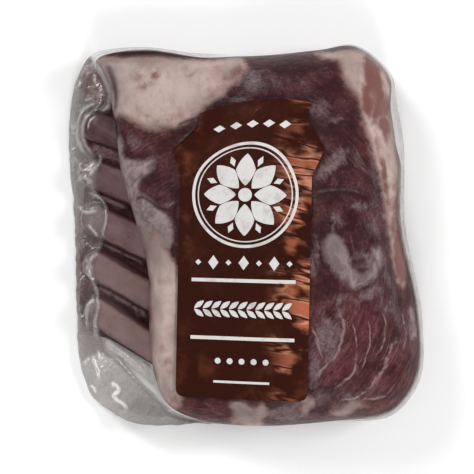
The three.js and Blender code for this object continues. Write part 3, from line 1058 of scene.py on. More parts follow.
    def material(self) -> Material:
        """Makes the material."""
        material, nodes, surface = new_material(self.name)
        place = nodes.millimetres()
        grain = self.grain(nodes, place)
        drawn = nodes.stretched(grain, (0.21, 0.110, 0.2))
        wisps = nodes.noise(drawn, 1.0, detail=7.0, roughness=0.72, swirl=0.8)
        colour = self.muscle(nodes, place, grain, wisps)
        grey = nodes.mix(nodes.rise(wisps, 0.40, 0.62), self.grey_dark, self.grey_pale)
        grey = nodes.mix(nodes.attribute("shade"), grey, self.shade)
        colour = nodes.mix(self.region(nodes, place, "grey", 6.0, 2.0), colour, grey)
        fat = self.region(nodes, place, "fat", 6.0, 1.8)
        colour = nodes.mix(fat, colour, self.fat(nodes, place))
        colour = nodes.mix(nodes.math("MULTIPLY", self.sinew(nodes, place), 0.80), colour, self.sinew_pale)
        # Painted shade in the clefts, in the darkest muscle colour.
        cleft_shade = nodes.math("MULTIPLY", nodes.attribute("cleft_shade"), 0.85)
        colour = nodes.mix(cleft_shade, colour, self.dark)
        bone = nodes.math("MULTIPLY", nodes.attribute("bone"), nodes.rise(wisps, 0.30, 0.55))
        colour = nodes.mix(bone, colour, self.bone)
        roughness = nodes.math("ADD", 0.20, nodes.math("MULTIPLY", wisps, 0.35))
        fine = nodes.noise(nodes.stretched(grain, (0.8, 0.12, 0.5)), 1.0, detail=3.0)
        fine = nodes.math("MULTIPLY", fine, nodes.inverse(nodes.math("MULTIPLY", fat, 0.8)))
        normal = nodes.film_bump(place, 5.0, 0.14, nodes.bump(fine, 0.30))
        looks = {"Base Color": colour, "Roughness": roughness, "Normal": normal}
        nodes.feed(surface, {"Specular IOR Level": self.specular, **looks})
        return material


@dataclass(frozen=True)
class RibFinish:
    """Rib bones under their thin purple-grey membrane, with a painted highlight along each crown and painted
    shade, dark red, down the sides where they meet the meat.
    """

    name: str = "rib bone"
    # painted shade on the bones' sides, towards the gaps between them
    gap: Colour = (0.048, 0.011, 0.015)
    dark: Colour = (0.060, 0.024, 0.026)
    middle: Colour = (0.104, 0.053, 0.055)
    pale: Colour = (0.170, 0.105, 0.106)
    waxen: Colour = (0.262, 0.170, 0.161)
    specular: float = 0.35

    def material(self) -> Material:
        """Makes the material."""
        material, nodes, surface = new_material(self.name)
        place = nodes.millimetres()
        drawn = nodes.stretched(place, (0.07, 0.30, 0.3), turn=26.0)
        streaks = nodes.noise(drawn, 1.4, detail=4.0, roughness=0.6)
        clouds = nodes.noise(place, 9.0, detail=4.0, roughness=0.62)
        colour = nodes.mix(nodes.rise(clouds, 0.30, 0.62), self.dark, self.middle)
        colour = nodes.mix(nodes.math("MULTIPLY", nodes.rise(streaks, 0.44, 0.68), 0.70), colour, self.pale)
        waxen = nodes.math("MULTIPLY", nodes.attribute("pallor"), nodes.math("ADD", 0.25, clouds), clamp=True)
        colour = nodes.mix(waxen, colour, self.waxen)
        # Painted highlight along each bone's crown.
        crown = nodes.inverse(nodes.rise(nodes.attribute("side"), 0.05, 0.70))
        crown = nodes.math("MULTIPLY", crown, nodes.math("MULTIPLY", clouds, 0.32))
        colour = nodes.mix(crown, colour, self.pale)
        # Painted shade down each bone's sides, more on the upper side of the lower bones.
        uneven = nodes.math("MULTIPLY", nodes.math("SUBTRACT", clouds, 0.5), 0.5)
        side = nodes.rise(nodes.math("ADD", nodes.attribute("side"), uneven), 0.76, 1.02)
        colour = nodes.mix(side, colour, self.gap)
        roughness = nodes.math("ADD", 0.16, nodes.math("MULTIPLY", clouds, 0.30))
        looks = {"Base Color": colour, "Roughness": roughness, "Normal": nodes.bump(streaks, 0.22)}
        nodes.feed(surface, {"Specular IOR Level": self.specular, **looks})
        return material


@dataclass(frozen=True)
class FilmFinish:
    """Clear shrunk film: nearly unseen where it is tight, and milky where it is loose or folded, with painted
    highlights on its folds and painted shade in the hollow behind the lip.
    """

    name: str = "clear film"
    dull: Colour = (0.265, 0.222, 0.204)
    milk: Colour = (0.600, 0.575, 0.555)
    white: Colour = (0.900, 0.890, 0.875)  # painted highlight on sharp folds and glints
    juice_and_shade: Colour = (0.150, 0.078, 0.071)  # where meat juice has run behind it, and painted shade in the hollow behind the lip
    roughness: float = 0.26
    specular: float = 1.0
    clearest: float = 0.006  # what shows of the tightest film

    def material(self) -> Material:
        """Makes the material."""
        material, nodes, surface = new_material(self.name)
        place = nodes.millimetres()
        wrinkles = nodes.group(film_wrinkle_group(), {"Place": place, "Pitch": 3.4}).outputs["Height"]
        clouds = nodes.noise(place, 9.0, detail=4.0, roughness=0.60, swirl=0.5)
        uneven = nodes.math("ADD", 0.55, nodes.math("MULTIPLY", clouds, 0.80))
        streaks = nodes.math("MULTIPLY", nodes.rise(wrinkles, 0.60, 0.98), 0.15)
        milkiness = nodes.math("MULTIPLY", nodes.math("ADD", uneven, streaks), nodes.attribute("haze"))
        alpha = nodes.math("ADD", milkiness, self.clearest, clamp=True)
        # The milk grows paler where the glow attribute says, up to a painted white highlight on folds, glints
        # and steep wrinkles.
        colour = nodes.mix(nodes.attribute("glow"), self.dull, self.milk)
        colour = nodes.mix(nodes.rise(nodes.attribute("glow"), 0.82, 1.0), colour, self.white)
        # Juice stains, and painted shade in the hollow behind the lip, in one darker colour.
        blots = nodes.rise(nodes.noise(place, 5.0, detail=4.0, roughness=0.6, swirl=0.8), 0.30, 0.60)
        juice_and_shade_share = nodes.math("MULTIPLY", nodes.attribute("juice_and_shade"), blots)
        colour = nodes.mix(juice_and_shade_share, colour, self.juice_and_shade)
        looks = {"Base Color": colour, "Alpha": alpha, "Normal": nodes.bump(wrinkles, 0.22)}
        nodes.feed(surface, {"Roughness": self.roughness, "Specular IOR Level": self.specular, **looks})
        return material


LABEL_WRINKLES = (7.0, 0.12)  # how far apart and how deep they are, on the foil and in its print


@dataclass(frozen=True)
class FoilFinish:
    """Metallized label film: dark copper brown, creased towards its right side, where a painted copper
    highlight lies, broken by painted shade in the creases and painted glints on their rims; a fainter painted
    highlight lies at its left edge and lower end.
    """

    name: str = "copper-brown foil"
    dark: Colour = (0.057, 0.0095, 0.0032)
    painted_copper_highlight: Colour = (0.760, 0.225, 0.115)
    glint: Colour = (0.980, 0.500, 0.340)
    roughness: float = 0.27
    metal: float = 0.60  # the rest is the lacquer's own brown

    def material(self) -> Material:
        """Makes the material."""
        material, nodes, surface = new_material(self.name)
        place = nodes.millimetres()
        patches = nodes.noise(nodes.stretched(place, (0.055, 0.085, 0.1), turn=14.0), 1.0, detail=3.0)
        drawn = nodes.stretched(place, (0.030, 0.135, 0.1), turn=12.0)
        ridges = nodes.noise(drawn, 1.0, detail=2.5, swirl=0.2)
        away = nodes.from_middle(ridges)
        # Painted shade in thin crease lines, and painted glints along their rims.
        crease_shade = nodes.inverse(nodes.rise(away, 0.004, 0.045))
        beyond = nodes.inverse(nodes.rise(away, 0.06, 0.10))
        edge = nodes.math("MULTIPLY", nodes.rise(away, 0.03, 0.06), beyond)
        clouds = nodes.noise(place, 14.0, detail=4.0, roughness=0.6)
        lit = nodes.math("MULTIPLY", nodes.rise(patches, 0.43, 0.60), nodes.inverse(crease_shade))
        shine = nodes.math("MULTIPLY", nodes.attribute("shine"), lit)
        # The painted highlight at the left edge and lower end.
        glow = nodes.math("MULTIPLY", nodes.rise(clouds, 0.48, 0.74), nodes.attribute("glow"))
        colour = nodes.mix(nodes.math("ADD", shine, glow, clamp=True), self.dark, self.painted_copper_highlight)
        glint = nodes.math("MULTIPLY", shine, nodes.math("MULTIPLY", edge, 0.8))
        colour = nodes.mix(glint, colour, self.glint)
        looks = {"Base Color": colour, "Normal": nodes.film_bump(place, *LABEL_WRINKLES)}
        nodes.feed(surface, {"Metallic": self.metal, "Roughness": self.roughness, **looks})
        return material


@dataclass(frozen=True)
class InkFinish:
    """Off-white print on the foil."""

    name: str = "off-white print"
    pale: Colour = (0.730, 0.715, 0.700)
    worn: Colour = (0.520, 0.455, 0.430)
    roughness: float = 0.42

    def material(self) -> Material:
        """Makes the material."""
        material, nodes, surface = new_material(self.name)
        place = nodes.millimetres()
        clouds = nodes.noise(place, 7.0, detail=5.0, roughness=0.66)
        colour = nodes.mix(nodes.rise(clouds, 0.46, 0.76), self.pale, self.worn)
        looks = {"Base Color": colour, "Normal": nodes.film_bump(place, *LABEL_WRINKLES)}
        nodes.feed(surface, {"Roughness": self.roughness, **looks})
        return material


@dataclass(frozen=True)
class FloorFinish:
    """A plain pale studio floor with a very fine tooth."""

    name: str = "pale floor"
    pale: Colour = (0.93, 0.93, 0.93)
    roughness: float = 0.9
    specular: float = 0.1
    lift: float = 0.12  # light of its own, so that it comes out near white

    def material(self) -> Material:
        """Makes the material."""
        material, nodes, surface = new_material(self.name)
        tooth = nodes.noise(nodes.millimetres(), 1.5)
        looks = {"Base Color": (*self.pale, 1.0), "Normal": nodes.bump(tooth, 0.02)}
        looks |= {"Roughness": self.roughness, "Specular IOR Level": self.specular}
        nodes.feed(surface, {"Emission Color": WHITE, "Emission Strength": self.lift, **looks})
        return material


# ---------------------------------------------------------------- the meat

@dataclass(frozen=True)
class MeatTints:
    """What the meat's finish reads from the mesh at each vertex. Depths are millimetres inside a region."""

    fat: Array
    grey: Array
    veil: Array
    flush: Array
    blush: Array
    shade: Array
    sinew: Array
    sinew_force: Array
    cleft_shade: Array
    bone: Array

    def give(self, piece: Piece) -> None:
        """Puts them into the mesh."""
        for name, values in vars(self).items():
            set_attribute(piece, name, values)


@dataclass(frozen=True)
class Loin:
    """The slab of meat: muscle, the fat cap, the stripe and rolls of fat, and the bone side below."""

    columns: int = 190
    rows: int = 206
    slimness: float = 1.083
    crowding: float = 0.30
    below_film: float = 0.45  # how far the meat lies under the pack's nominal surface
    rim_band: float = 1.2
    inset: float = 0.6  # of the meat's rim inside the bag's
    side_inset: float = 3.8  # more of it at the loin's upper part, where the bag's edge stands off
    low_inset: float = 1.0  # and below that
    top_inset: float = 1.0  # and at the upper end over the fat cap
    label_margin: float = 3.0  # the meat is pressed even this far round the label
    sinew_margin: float = 3.2  # how near a place must be to a sinew to be drawn by it
    region_rises: tuple[tuple[tuple[Outline, ...], float, Point], ...] = (  # how far, between which depths
        ((FAT_CAP,), 1.5, (-1.0, 3.0)),
        ((FAT_ROLL,), 1.0, (-1.0, 4.0)),
        ((SIDE_STRIPE,), 0.5, (-1.2, 2.0)),
        (GREY_FATS, 0.7, (-1.0, 2.5)),
        (RED_MUSCLES, -0.9, (-2.5, 0.5)),
    )
    least_veil: float = 0.22  # of silverskin on bare muscle
    chine: Point = (28.0, 60.0)  # from where to where the sawn bone shows below
    low_flush: float = 0.4  # of the walls and the bone side

    def relief(self, x: Array, y: Array) -> Array:
        """How far the meat stands out of the pack's nominal surface, seen from above.

        Args:
            x: places across.
            y: places along.

        Returns:
            The heights, 0 under the label.
        """
        across, along = x - GRAIN_CENTRE[0], y - GRAIN_CENTRE[1]
        ring, turn = np.hypot(across, along), np.arctan2(along, across) * GRAIN_TURN
        fat = union_depth((FAT_CAP, SIDE_STRIPE, FAT_ROLL), x, y)
        covered = smoothstep(fat, -2.0, 2.0)
        fibres = bumps(ring * 2.2, turn * 0.45, 7.0, 5)
        muscle = 0.80 * bumps(x, y, 17.0, 3) + 0.45 * bumps(x, y, 7.5, 4) + 0.22 * fibres
        height = muscle * (1.0 - 0.8 * covered)
        for regions, rise, edge in self.region_rises:
            height += rise * smoothstep(union_depth(regions, x, y), *edge)
        height += 1.8 * rounded(union_depth(FAT_KNOBS, x, y).clip(0.0), 5.0)
        height += covered * (0.35 * bumps(x, y, 9.0, 6) + 0.18 * bumps(x, y, 3.6, 7))
        height += 0.25 * crests(SINEWS, x, y, scaled=False) - crests(CLEFTS, x, y)
        u, v = FORM.on_label(x, y)
        return height * (1.0 - LABEL.covers(u, v, self.label_margin))

    def rim_reach(self, angle: Array) -> Array:
        """How far the meat reaches from the slab's centre at an angle."""
        reach = FORM.slab_outline.reach(FORM.slab_centre, angle)
        x = FORM.slab_centre[0] + reach * np.cos(angle)
        y = FORM.slab_centre[1] + reach * np.sin(angle)
        gap = smoothstep(y, -28.0, 0.0) * lerp(self.low_inset, self.side_inset, smoothstep(y, 34.0, 52.0))
        side = gap * smoothstep(x, 60.0, 80.0) * (1.0 - smoothstep(y, 66.0, 88.0))
        top = self.top_inset * smoothstep(y, 76.0, 92.0) * (1.0 - smoothstep(x, -24.0, -4.0))
        return reach - self.inset - np.maximum(side, top)

    def place(self, a: Array, b: Array, c: Array) -> tuple[Array, Array, Array]:
        """Shapes the slab."""
        x, y, inwards = cushion_places(a, b, self.rim_reach, FORM.slab_centre, self.slimness, self.crowding)
        top = FORM.slab_top(x, y) + self.relief(x, y) - self.below_film
        base = FORM.underside(x, y) + self.below_film + 0.2 * bumps(x, y, 6.0, 8)
        edge = FORM.slab_rim + c * self.rim_band / 2
        risen = np.where(c > 0, rounded(inwards, FORM.slab_round(x)), rounded(inwards, FORM.base_round))
        return x, y, lerp(edge, np.where(c > 0, top, base), risen)

    def tints(self, x: Array, y: Array, z: Array) -> MeatTints:
        """The tints of the upper side, the cut ends, and the ribs and the sawn chine below.

        Args:
            x: places across.
            y: places along.
            z: their heights.

        Returns:
            The tints at each place.
        """
        upper = smoothstep(z, 8.0, 16.0)
        traces = [line.trace(x, y) for line in SINEWS]
        offsets = np.array([offset for offset, _ in traces])
        widths = np.array([line.width for line in SINEWS])
        nearest_line = np.abs(offsets).argmin(axis=0)[None]
        offset = np.take_along_axis(offsets, nearest_line, axis=0)[0]
        fade = np.take_along_axis(np.array([fade for _, fade in traces]), nearest_line, axis=0)[0]
        force = fade * (1.0 - smoothstep(np.abs(offset), 0.6 * self.sinew_margin, self.sinew_margin))
        ribs = FORM.on_ribs(x, y) * (1.0 - smoothstep(x, *FORM.chine_flat))
        left, right = self.chine
        chine = smoothstep(x, left - 2.0, left + 2.0) * (1.0 - smoothstep(x, right - 2.0, right + 2.0))
        below = -FAR * (1.0 - upper)
        return MeatTints(
            fat=union_depth((FAT_CAP, SIDE_STRIPE, FAT_ROLL, *FAT_KNOBS), x, y) + below,
            grey=union_depth(GREY_FATS, x, y) + below,
            veil=np.maximum(density(VEILS, x, y), self.least_veil) * upper,
            flush=density(FLUSHES, x, y) * upper + self.low_flush * (1.0 - upper),
            blush=density(BLUSHES, x, y) * upper,
            shade=np.clip(density(SHADES, x, y), 0.0, 0.9) * upper,
            sinew=offset / widths[nearest_line[0]],
            sinew_force=force * upper,
            # painted shade along the clefts
            cleft_shade=crests(CLEFTS, x, y, scaled=False) * upper,
            bone=np.maximum(ribs, chine) * (1.0 - smoothstep(z, 4.0, 9.0)),
        )

    def build(self, finish: Material) -> Piece:
        """Builds and dresses the slab."""
        piece = shaped_box("loin", self.columns, self.rows, self.place)
        self.tints(*(read_corners(piece).T / MM)).give(piece)
        return dress(piece, finish)


@dataclass(frozen=True)
class Belly:
    """The thin dark meat between and under the ribs, out to a ragged edge beyond their ends."""

    outline: Outline = Outline((
        (-66, 76), (-76, 72), (-83, 62), (-84, 48), (-82, 34), (-84, 20), (-84, 6), (-86, -6), (-85.5, -22),
        (-86, -36), (-84, -46), (-78, -51), (-70, -54), (-58, -61), (-46, -68), (-36, -72), (-26, -72),
        (-26, -36), (-32, 0), (-42, 40), (-52, 70),
    ))
    centre: Point = (-60.0, 0.0)
    rim: float = 3.4
    low: float = 4.6  # its height at the free edge
    high: float = 7.6  # and between the ribs
    rise: Point = (-84.0, -74.0)
    edge_round: float = 5.0
    columns: int = 70
    rows: int = 200
    slimness: float = 2.6
    crowding: float = 0.2

    def top(self, x: Array, y: Array) -> Array:
        """Height of its upper side, with the strips of gristle between the ribs."""
        return lerp(self.low, self.high, smoothstep(x, *self.rise)) + crests(GRISTLES, x, y)

    def rim_reach(self, angle: Array) -> Array:
        """How far the meat reaches from its middle at an angle."""
        return self.outline.reach(self.centre, angle)

    def place(self, a: Array, b: Array, c: Array) -> tuple[Array, Array, Array]:
        """Shapes the sheet of meat."""
        x, y, inwards = cushion_places(a, b, self.rim_reach, self.centre, self.slimness, self.crowding)
        top = self.top(x, y) + 0.3 * bumps(x, y, 5.0, 11)
        base = FORM.underside(x, y) + 1.3
        risen = rounded(inwards, self.edge_round)
        return x, y, lerp(self.rim + 0.3 * c, np.where(c > 0, top, base), risen)

    def build(self, finish: Material) -> Piece:
        """Builds and dresses the meat round the ribs."""
        piece = shaped_box("belly", self.columns, self.rows, self.place)
        x, y, z = read_corners(piece).T / MM
        none = np.zeros(x.shape)
        edge = 1.0 - smoothstep(x, -84.0, -78.0)
        MeatTints(
            fat=none - FAR,
            grey=none - FAR,
            veil=0.1 + 0.5 * edge,
            flush=0.35 + 0.65 * edge,
            blush=none,
            shade=none,
            sinew=np.abs([line.trace(x, y)[0] / line.width for line in GRISTLES]).min(axis=0) * 0.7,
            sinew_force=0.55 * smoothstep(crests(GRISTLES, x, y, scaled=False), 0.02, 0.3),
            cleft_shade=none,
            bone=FORM.on_ribs(x, y) * (1.0 - smoothstep(z, 2.0, 4.5)),
        ).give(piece)
        return dress(piece, finish)


@dataclass(frozen=True)
class RibBones:
    """The flat rib bones: rounded at their free ends, with their roots in the slab."""

    segments: int = 48
    rings: int = 60
    squareness: float = 2.6
    narrower: float = 0.35  # than the film over them, on each side
    end_crowding: float = 0.8  # below 1, the rings lie closer together towards the ends
    waist: float = 0.05  # of the width, by which a bone swells and narrows
    waist_pitch: float = 9.0
    leaning: float = 0.06  # by how much more of its upper edge lies in shade, for each rib
    paling: float = 0.25  # by how much each rib is paler than the one above it

    def bone(self, index: int) -> Piece:
        """One bone, from a sphere that is drawn out and flattened.

        Args:
            index: which bone, from 0 for the uppermost.

        Returns:
            The bone, without its finish.
        """
        counts = {"segments": self.segments, "ring_count": self.rings}
        piece = primitive(bpy.ops.mesh.primitive_uv_sphere_add, f"rib_{index + 1}", radius=1.0, **counts)
        with edit_mode(piece):
            bpy.ops.transform.rotate(value=math.pi / 2, orient_axis="Y", center_override=(0.0, 0.0, 0.0))
        along, across, up = read_corners(piece).T
        rib = FORM.ribs[index]
        half_width = FORM.rib_width / 2 - self.narrower
        half_height = FORM.rib_thickness / 2 - self.narrower
        around = np.arctan2(up, across)
        girth = (np.abs(np.cos(around)) ** self.squareness + np.abs(np.sin(around)) ** self.squareness) ** (
            -1.0 / self.squareness
        )
        reach = np.arcsin(np.clip(along, -1.0, 1.0)) / (math.pi / 2)
        distance = FORM.rib_length / 2 * (1.0 + np.sign(reach) * np.abs(reach) ** self.end_crowding)
        cap = np.minimum(distance, FORM.rib_length - distance)
        ring = rounded(np.clip(cap - self.narrower, 0.0, None), half_width)
        waist = 1.0 - self.waist * np.sin(distance / self.waist_pitch + index)
        sideways = ring * girth * half_width * waist * np.cos(around)
        lift = FORM.rib_tip_height + distance * math.tan(math.radians(FORM.rib_slope))
        z = lift + ring * girth * half_height * np.sin(around)
        x, y = turned(distance, sideways, -rib.turn)
        write_corners(piece, x + rib.tip[0], y + rib.tip[1], z)
        # How far out to a side each place lies, which the finish darkens with painted shade.
        side = sideways / half_width
        set_attribute(piece, "side", np.maximum(np.abs(side), side + self.leaning * index))
        set_attribute(piece, "pallor", np.full(x.shape, self.paling * index))
        with edit_mode(piece):
            bpy.ops.mesh.normals_make_consistent(inside=False)
        return piece

    def build(self, finish: Material) -> list[Piece]:
        """Builds and dresses all the bones."""
        return [dress(self.bone(index), finish) for index in range(FORM.rib_count)]


# ---------------------------------------------------------------- the bag

@dataclass(frozen=True)
class Bag:
    """The clear film round it all, as one closed skin, with its folds and loose margins."""

    outline: Outline = Outline((
        (-79.8, 92.8), (-54.3, 97.0), (-22.6, 93.6), (8.1, 93.6), (38.0, 96.4), (56.3, 98.1), (74.9, 82.6),
        (77.5, 69.0), (81.3, 46.0), (81.8, 5.9), (90.2, -38.2), (89.7, -72.6), (75.9, -91.5), (48.0, -95.4),
        (8.1, -98.0), (-22.6, -96.4), (-52.0, -96.4), (-67.4, -92.2), (-78.5, -84.2), (-84.6, -71.5),
        (-87.4, -45.1), (-87.9, -14.7), (-89.6, 20.6), (-91.5, 44.1), (-91.0, 64.2), (-87.6, 81.6),
    ))
    columns: int = 205
    rows: int = 226
    slimness: float = 1.08
    crowding: float = 0.4
    slack: float = 0.10  # how far tight film lies under the pack's nominal surface
    wall_haze: float = 0.05  # of the tight film low on the slab's wall
    skirt_low: float = 4.6
    skirt_rim: float = 3.0
    edge_round: float = 3.0
    flange: Outline = Outline((
        (-71, -62), (-62, -70), (-52, -80), (-45, -86), (-30, -92), (-14, -96), (-14, -101), (-40, -101),
        (-66, -97), (-82, -84), (-86, -66), (-76, -60),
    ))
    crinkle: float = 0.55  # of the free edge, in and out
    free_middle: float = 3.6  # radians: the direction of the middle of the free edge
    strip: Outline = Outline((
        (-72, -53), (-64, -58), (-55, -64), (-47.5, -69), (-47.5, -77), (-55, -71), (-63, -64), (-72, -58),
    ))
    margin: Outline = Outline((
        (-78, 92), (-74, 82), (-70, 70), (-76, 65), (-82, 58), (-82, 47), (-76, 38), (-77, 26), (-73, 12),
        (-74, -4), (-78, -14), (-76, -30), (-76, -44), (-74, -58), (-70, -74), (-64, -98), (-90, -98),
        (-96, 0), (-96, 90),
    ))
    folds: tuple[Line, ...] = (
        Line(((-86, 85), (-81.5, 88.5), (-76, 86.5), (-72, 80), (-69.8, 73), (-70.2, 67.5), (-73.5, 65),
              (-78, 66.5)), 1.5, 2.6),
        Line(((-73.5, 68), (-79, 68), (-84, 64.5), (-86.5, 59), (-87, 52), (-85.5, 46), (-82.5, 42),
              (-78, 38)), 0.75, 1.3),
        Line(((-76, 64.5), (-80.5, 63), (-83, 59), (-84, 54), (-83, 48), (-80, 43.5), (-77, 41.5)),
             0.70, 1.1),
        Line(((-77, 43), (-74.5, 40.5), (-75.5, 36.5), (-79, 34), (-84, 33.5)), 0.70, 1.2),
        Line(((-89.5, 41.5), (-86.5, 37.5), (-84.5, 32.5)), 0.60, 0.9),
        Line(((-84.5, 24.5), (-79, 22), (-74.5, 19), (-71.8, 14.5), (-71.8, 8), (-73, 2), (-74.5, -4)),
             0.70, 1.2),
        Line(((-73.5, -2), (-77.5, -9.5), (-80, -13.5), (-80, -20), (-77.5, -26), (-76, -31), (-76, -39),
              (-77.5, -45.5), (-76.5, -53), (-73, -61)), 0.75, 1.3),
        Line(((-83, -11), (-80, -15), (-81.5, -21)), 0.60, 0.9),
        Line(((-76.5, -29), (-80.5, -35), (-82, -43), (-81, -50)), 0.65, 1.0),
        Line(((-72, -54), (-66, -58), (-58, -64.5), (-51, -71.5), (-46.5, -77)), 0.65, 1.0),
        Line(((-74, -57), (-66.8, -62.5), (-61, -69.4), (-56.6, -74.5), (-50, -80.5), (-43, -86)), 0.60, 1.0),
        Line(((-80, -62), (-77, -68), (-76, -75)), 0.70, 1.2),
        Line(((-88, 15), (-81, 12), (-75, 13.5)), 0.60, 0.9),
        Line(((-88, 28), (-83, 30), (-78, 26.5)), 0.60, 0.9),
    )
    glints: tuple[Line, ...] = (
        Line(((-72.5, -78.5), (-67.6, -77), (-65.4, -80), (-68.3, -83), (-62.5, -88.1), (-60.8, -94)),
             0.75, 1.6),
        Line(((-76.5, -58.5), (-75.6, -61.5), (-75.9, -64)), 0.70, 0.8),
        Line(((-81, -77), (-78.5, -79), (-77.5, -81.5)), 0.60, 0.8),
        Line(((-69.5, -56), (-63, -60.5), (-56.5, -65.5)), 0.50, 0.6),
        Line(((-70, -60.5), (-64, -66), (-59, -72), (-53.5, -78)), 0.45, 0.7),
        Line(((-76.5, 62), (-80, 59), (-81, 54)), 0.50, 0.7),
        Line(((-85, 33), (-80.5, 35), (-77, 38.5)), 0.50, 0.7),
        Line(((-81.5, 6), (-78, 2.5), (-75.5, -1)), 0.50, 0.7),
    )
    pocket: Cloud = Cloud(1.3, (-77.5, 77.0), (5.5, 9.0), 20.0)  # the hollow behind the lip, painted darker as shade
    side_band: Point = (2.5, 5.5)  # how far in from the rim the milky film at the loin's side fades
    end_band: Point = (2.0, 3.6)  # and the one at the fat cap's end

    def nominal_top(self, x: Array, y: Array) -> Array:
        """Height of the film, without its folds and wrinkles.

        Args:
            x: places across.
            y: places along.

        Returns:
            The heights.
        """
        inwards = FORM.slab_inwards(x, y)
        crown = FORM.slab_top(x, y) + LOIN.relief(x, y) + 0.8 * crests(CLEFTS, x, y) - self.slack
        dome = lerp(FORM.slab_rim, crown, rounded(inwards, FORM.slab_round(x)))
        dome += 2.2 * np.minimum(inwards, 0.0)
        held = smoothstep(x, -88.5, -83.0) * smoothstep(y, -74.0, -54.0) * (1.0 - smoothstep(y, 66.0, 84.0))
        skirt = lerp(self.skirt_low, BELLY.top(x, y) + 0.9, held)
        ribs = FORM.rib_crown(x, y, 0.15, 2.6)
        return smooth_max(smooth_max(skirt, ribs, 1.0), dome, 2.5)

    def looseness(self, x: Array, y: Array) -> Array:
        """How loose the film is, from 0 where it is shrunk on meat to 1 at the free margins."""
        margin = smoothstep(self.margin.depth(x, y), -2.0, 2.0)
        flat = smoothstep(self.flange.depth(x, y), -2.0, 3.0)
        return margin * (1.0 - 0.85 * flat) + 0.12 * flat * (1.0 - margin)

    def wrinkles(self, x: Array, y: Array) -> Array:
        """Height of the folds, the crumpled margins and the fine creases of the tight film.

        Args:
            x: places across.
            y: places along.

        Returns:
            The heights, to be added to the nominal top.
        """
        loose = self.looseness(x, y)
        crumple = creases(x, y, 12.0, 21) * 1.6 + creases(x, y, 6.5, 22) * 0.4 - 0.3
        flat = smoothstep(self.flange.depth(x, y), -1.0, 3.0)
        crumple += flat * (1.6 * creases(x, y, 9.0, 26) + 0.8 * creases(x, y, 4.5, 27))
        tight = 0.16 * creases(x * 0.5 + y * 0.35, y * 0.8 - x * 0.3, 6.0, 23)
        free = 1.0 - LABEL.covers(*FORM.on_label(x, y), 1.0)
        return crests(self.folds + self.glints, x, y) + loose * crumple + tight * (1.0 - loose) * free

    def rim_height(self, x: Array, y: Array) -> Array:
        """Height of the seam where the upper and lower film meet."""
        corner = smoothstep(y, 82.0, 92.0) * smoothstep(x, -88.0, -76.0)
        skirt = (1.0 - smoothstep(x, -80.0, -50.0)) * (1.0 - corner)
        return lerp(FORM.slab_rim, self.skirt_rim, skirt)

    def rim_reach(self, angle: Array) -> Array:
        """How far the skin reaches from the origin at an angle, crinkled where its edge is free."""
        free = smoothstep(np.abs(np.mod(angle, 2 * math.pi) - self.free_middle), 1.25, 0.85)
        crinkles = self.crinkle * free * bumps(angle * 85.0, 0.0 * angle, 3.2, 29)
        return self.outline.reach((0.0, 0.0), angle) + crinkles

    def place(self, a: Array, b: Array, c: Array) -> tuple[Array, Array, Array]:
        """Shapes the skin."""
        x, y, inwards = cushion_places(a, b, self.rim_reach, (0.0, 0.0), self.slimness, self.crowding)
        top = self.nominal_top(x, y) + self.wrinkles(x, y)
        skirt = 1.0 - smoothstep(FORM.slab_inwards(x, y), -4.0, 6.0)
        base = np.maximum(FORM.underside(x, y) + 1.0 * skirt + 0.15 * bumps(x, y, 7.0, 24), 0.0)
        rim = self.rim_height(x, y) + 0.5 * bumps(x, y, 8.0, 25)
        risen = np.where(c > 0, rounded(inwards, self.edge_round), rounded(inwards, FORM.base_round))
        return x, y, lerp(rim + 0.2 * c, np.where(c > 0, top, base), risen)

    def steepness(self, x: Array, y: Array) -> Array:
        """How steep the wrinkles are."""
        step = 0.4
        across = self.wrinkles(x + step, y) - self.wrinkles(x - step, y)
        along = self.wrinkles(x, y + step) - self.wrinkles(x, y - step)
        return np.hypot(across, along) / (2 * step)

    def side_haze(self, inwards: Array, x: Array, y: Array, z: Array) -> Array:
        """How milky the film is along the loin's side: streaky and thinner on the wall below.

        Args:
            inwards: how far in from the film's rim the places lie.
            x: places across.
            y: places along.
            z: their heights.

        Returns:
            The milkiness, from 0 to 1.
        """
        haze = lerp(0.76, 0.62, self.up_the_side(y)) * (1.0 - smoothstep(inwards, *self.side_band))
        streaks = 0.55 + 0.45 * smoothstep(bumps(1.4 * y, 0.35 * z, 6.0, 33), -0.5, 0.5)
        low = 1.0 - smoothstep(z, FORM.slab_rim - 8.0, FORM.slab_rim + 3.0)
        haze *= (1.0 - 0.75 * low) * lerp(1.0, streaks, 1.0 - smoothstep(z, 18.0, 26.0))
        return haze * smoothstep(x, 40.0, 76.0)

    def up_the_side(self, y: Array) -> Array:
        """0 at the loin's lower side and 1 at its upper side, where the film is less white."""
        return smoothstep(y, -26.0, 0.0)

    def end_haze(self, inwards: Array, x: Array, y: Array, z: Array) -> Array:
        """How milky the film is over the edge of the fat cap's end."""
        haze = 0.66 * (1.0 - smoothstep(inwards, *self.end_band)) * smoothstep(y, 80.0, 88.0)
        return haze * smoothstep(z, 12.0, 19.0) * (1.0 - smoothstep(x, -24.0, -4.0))

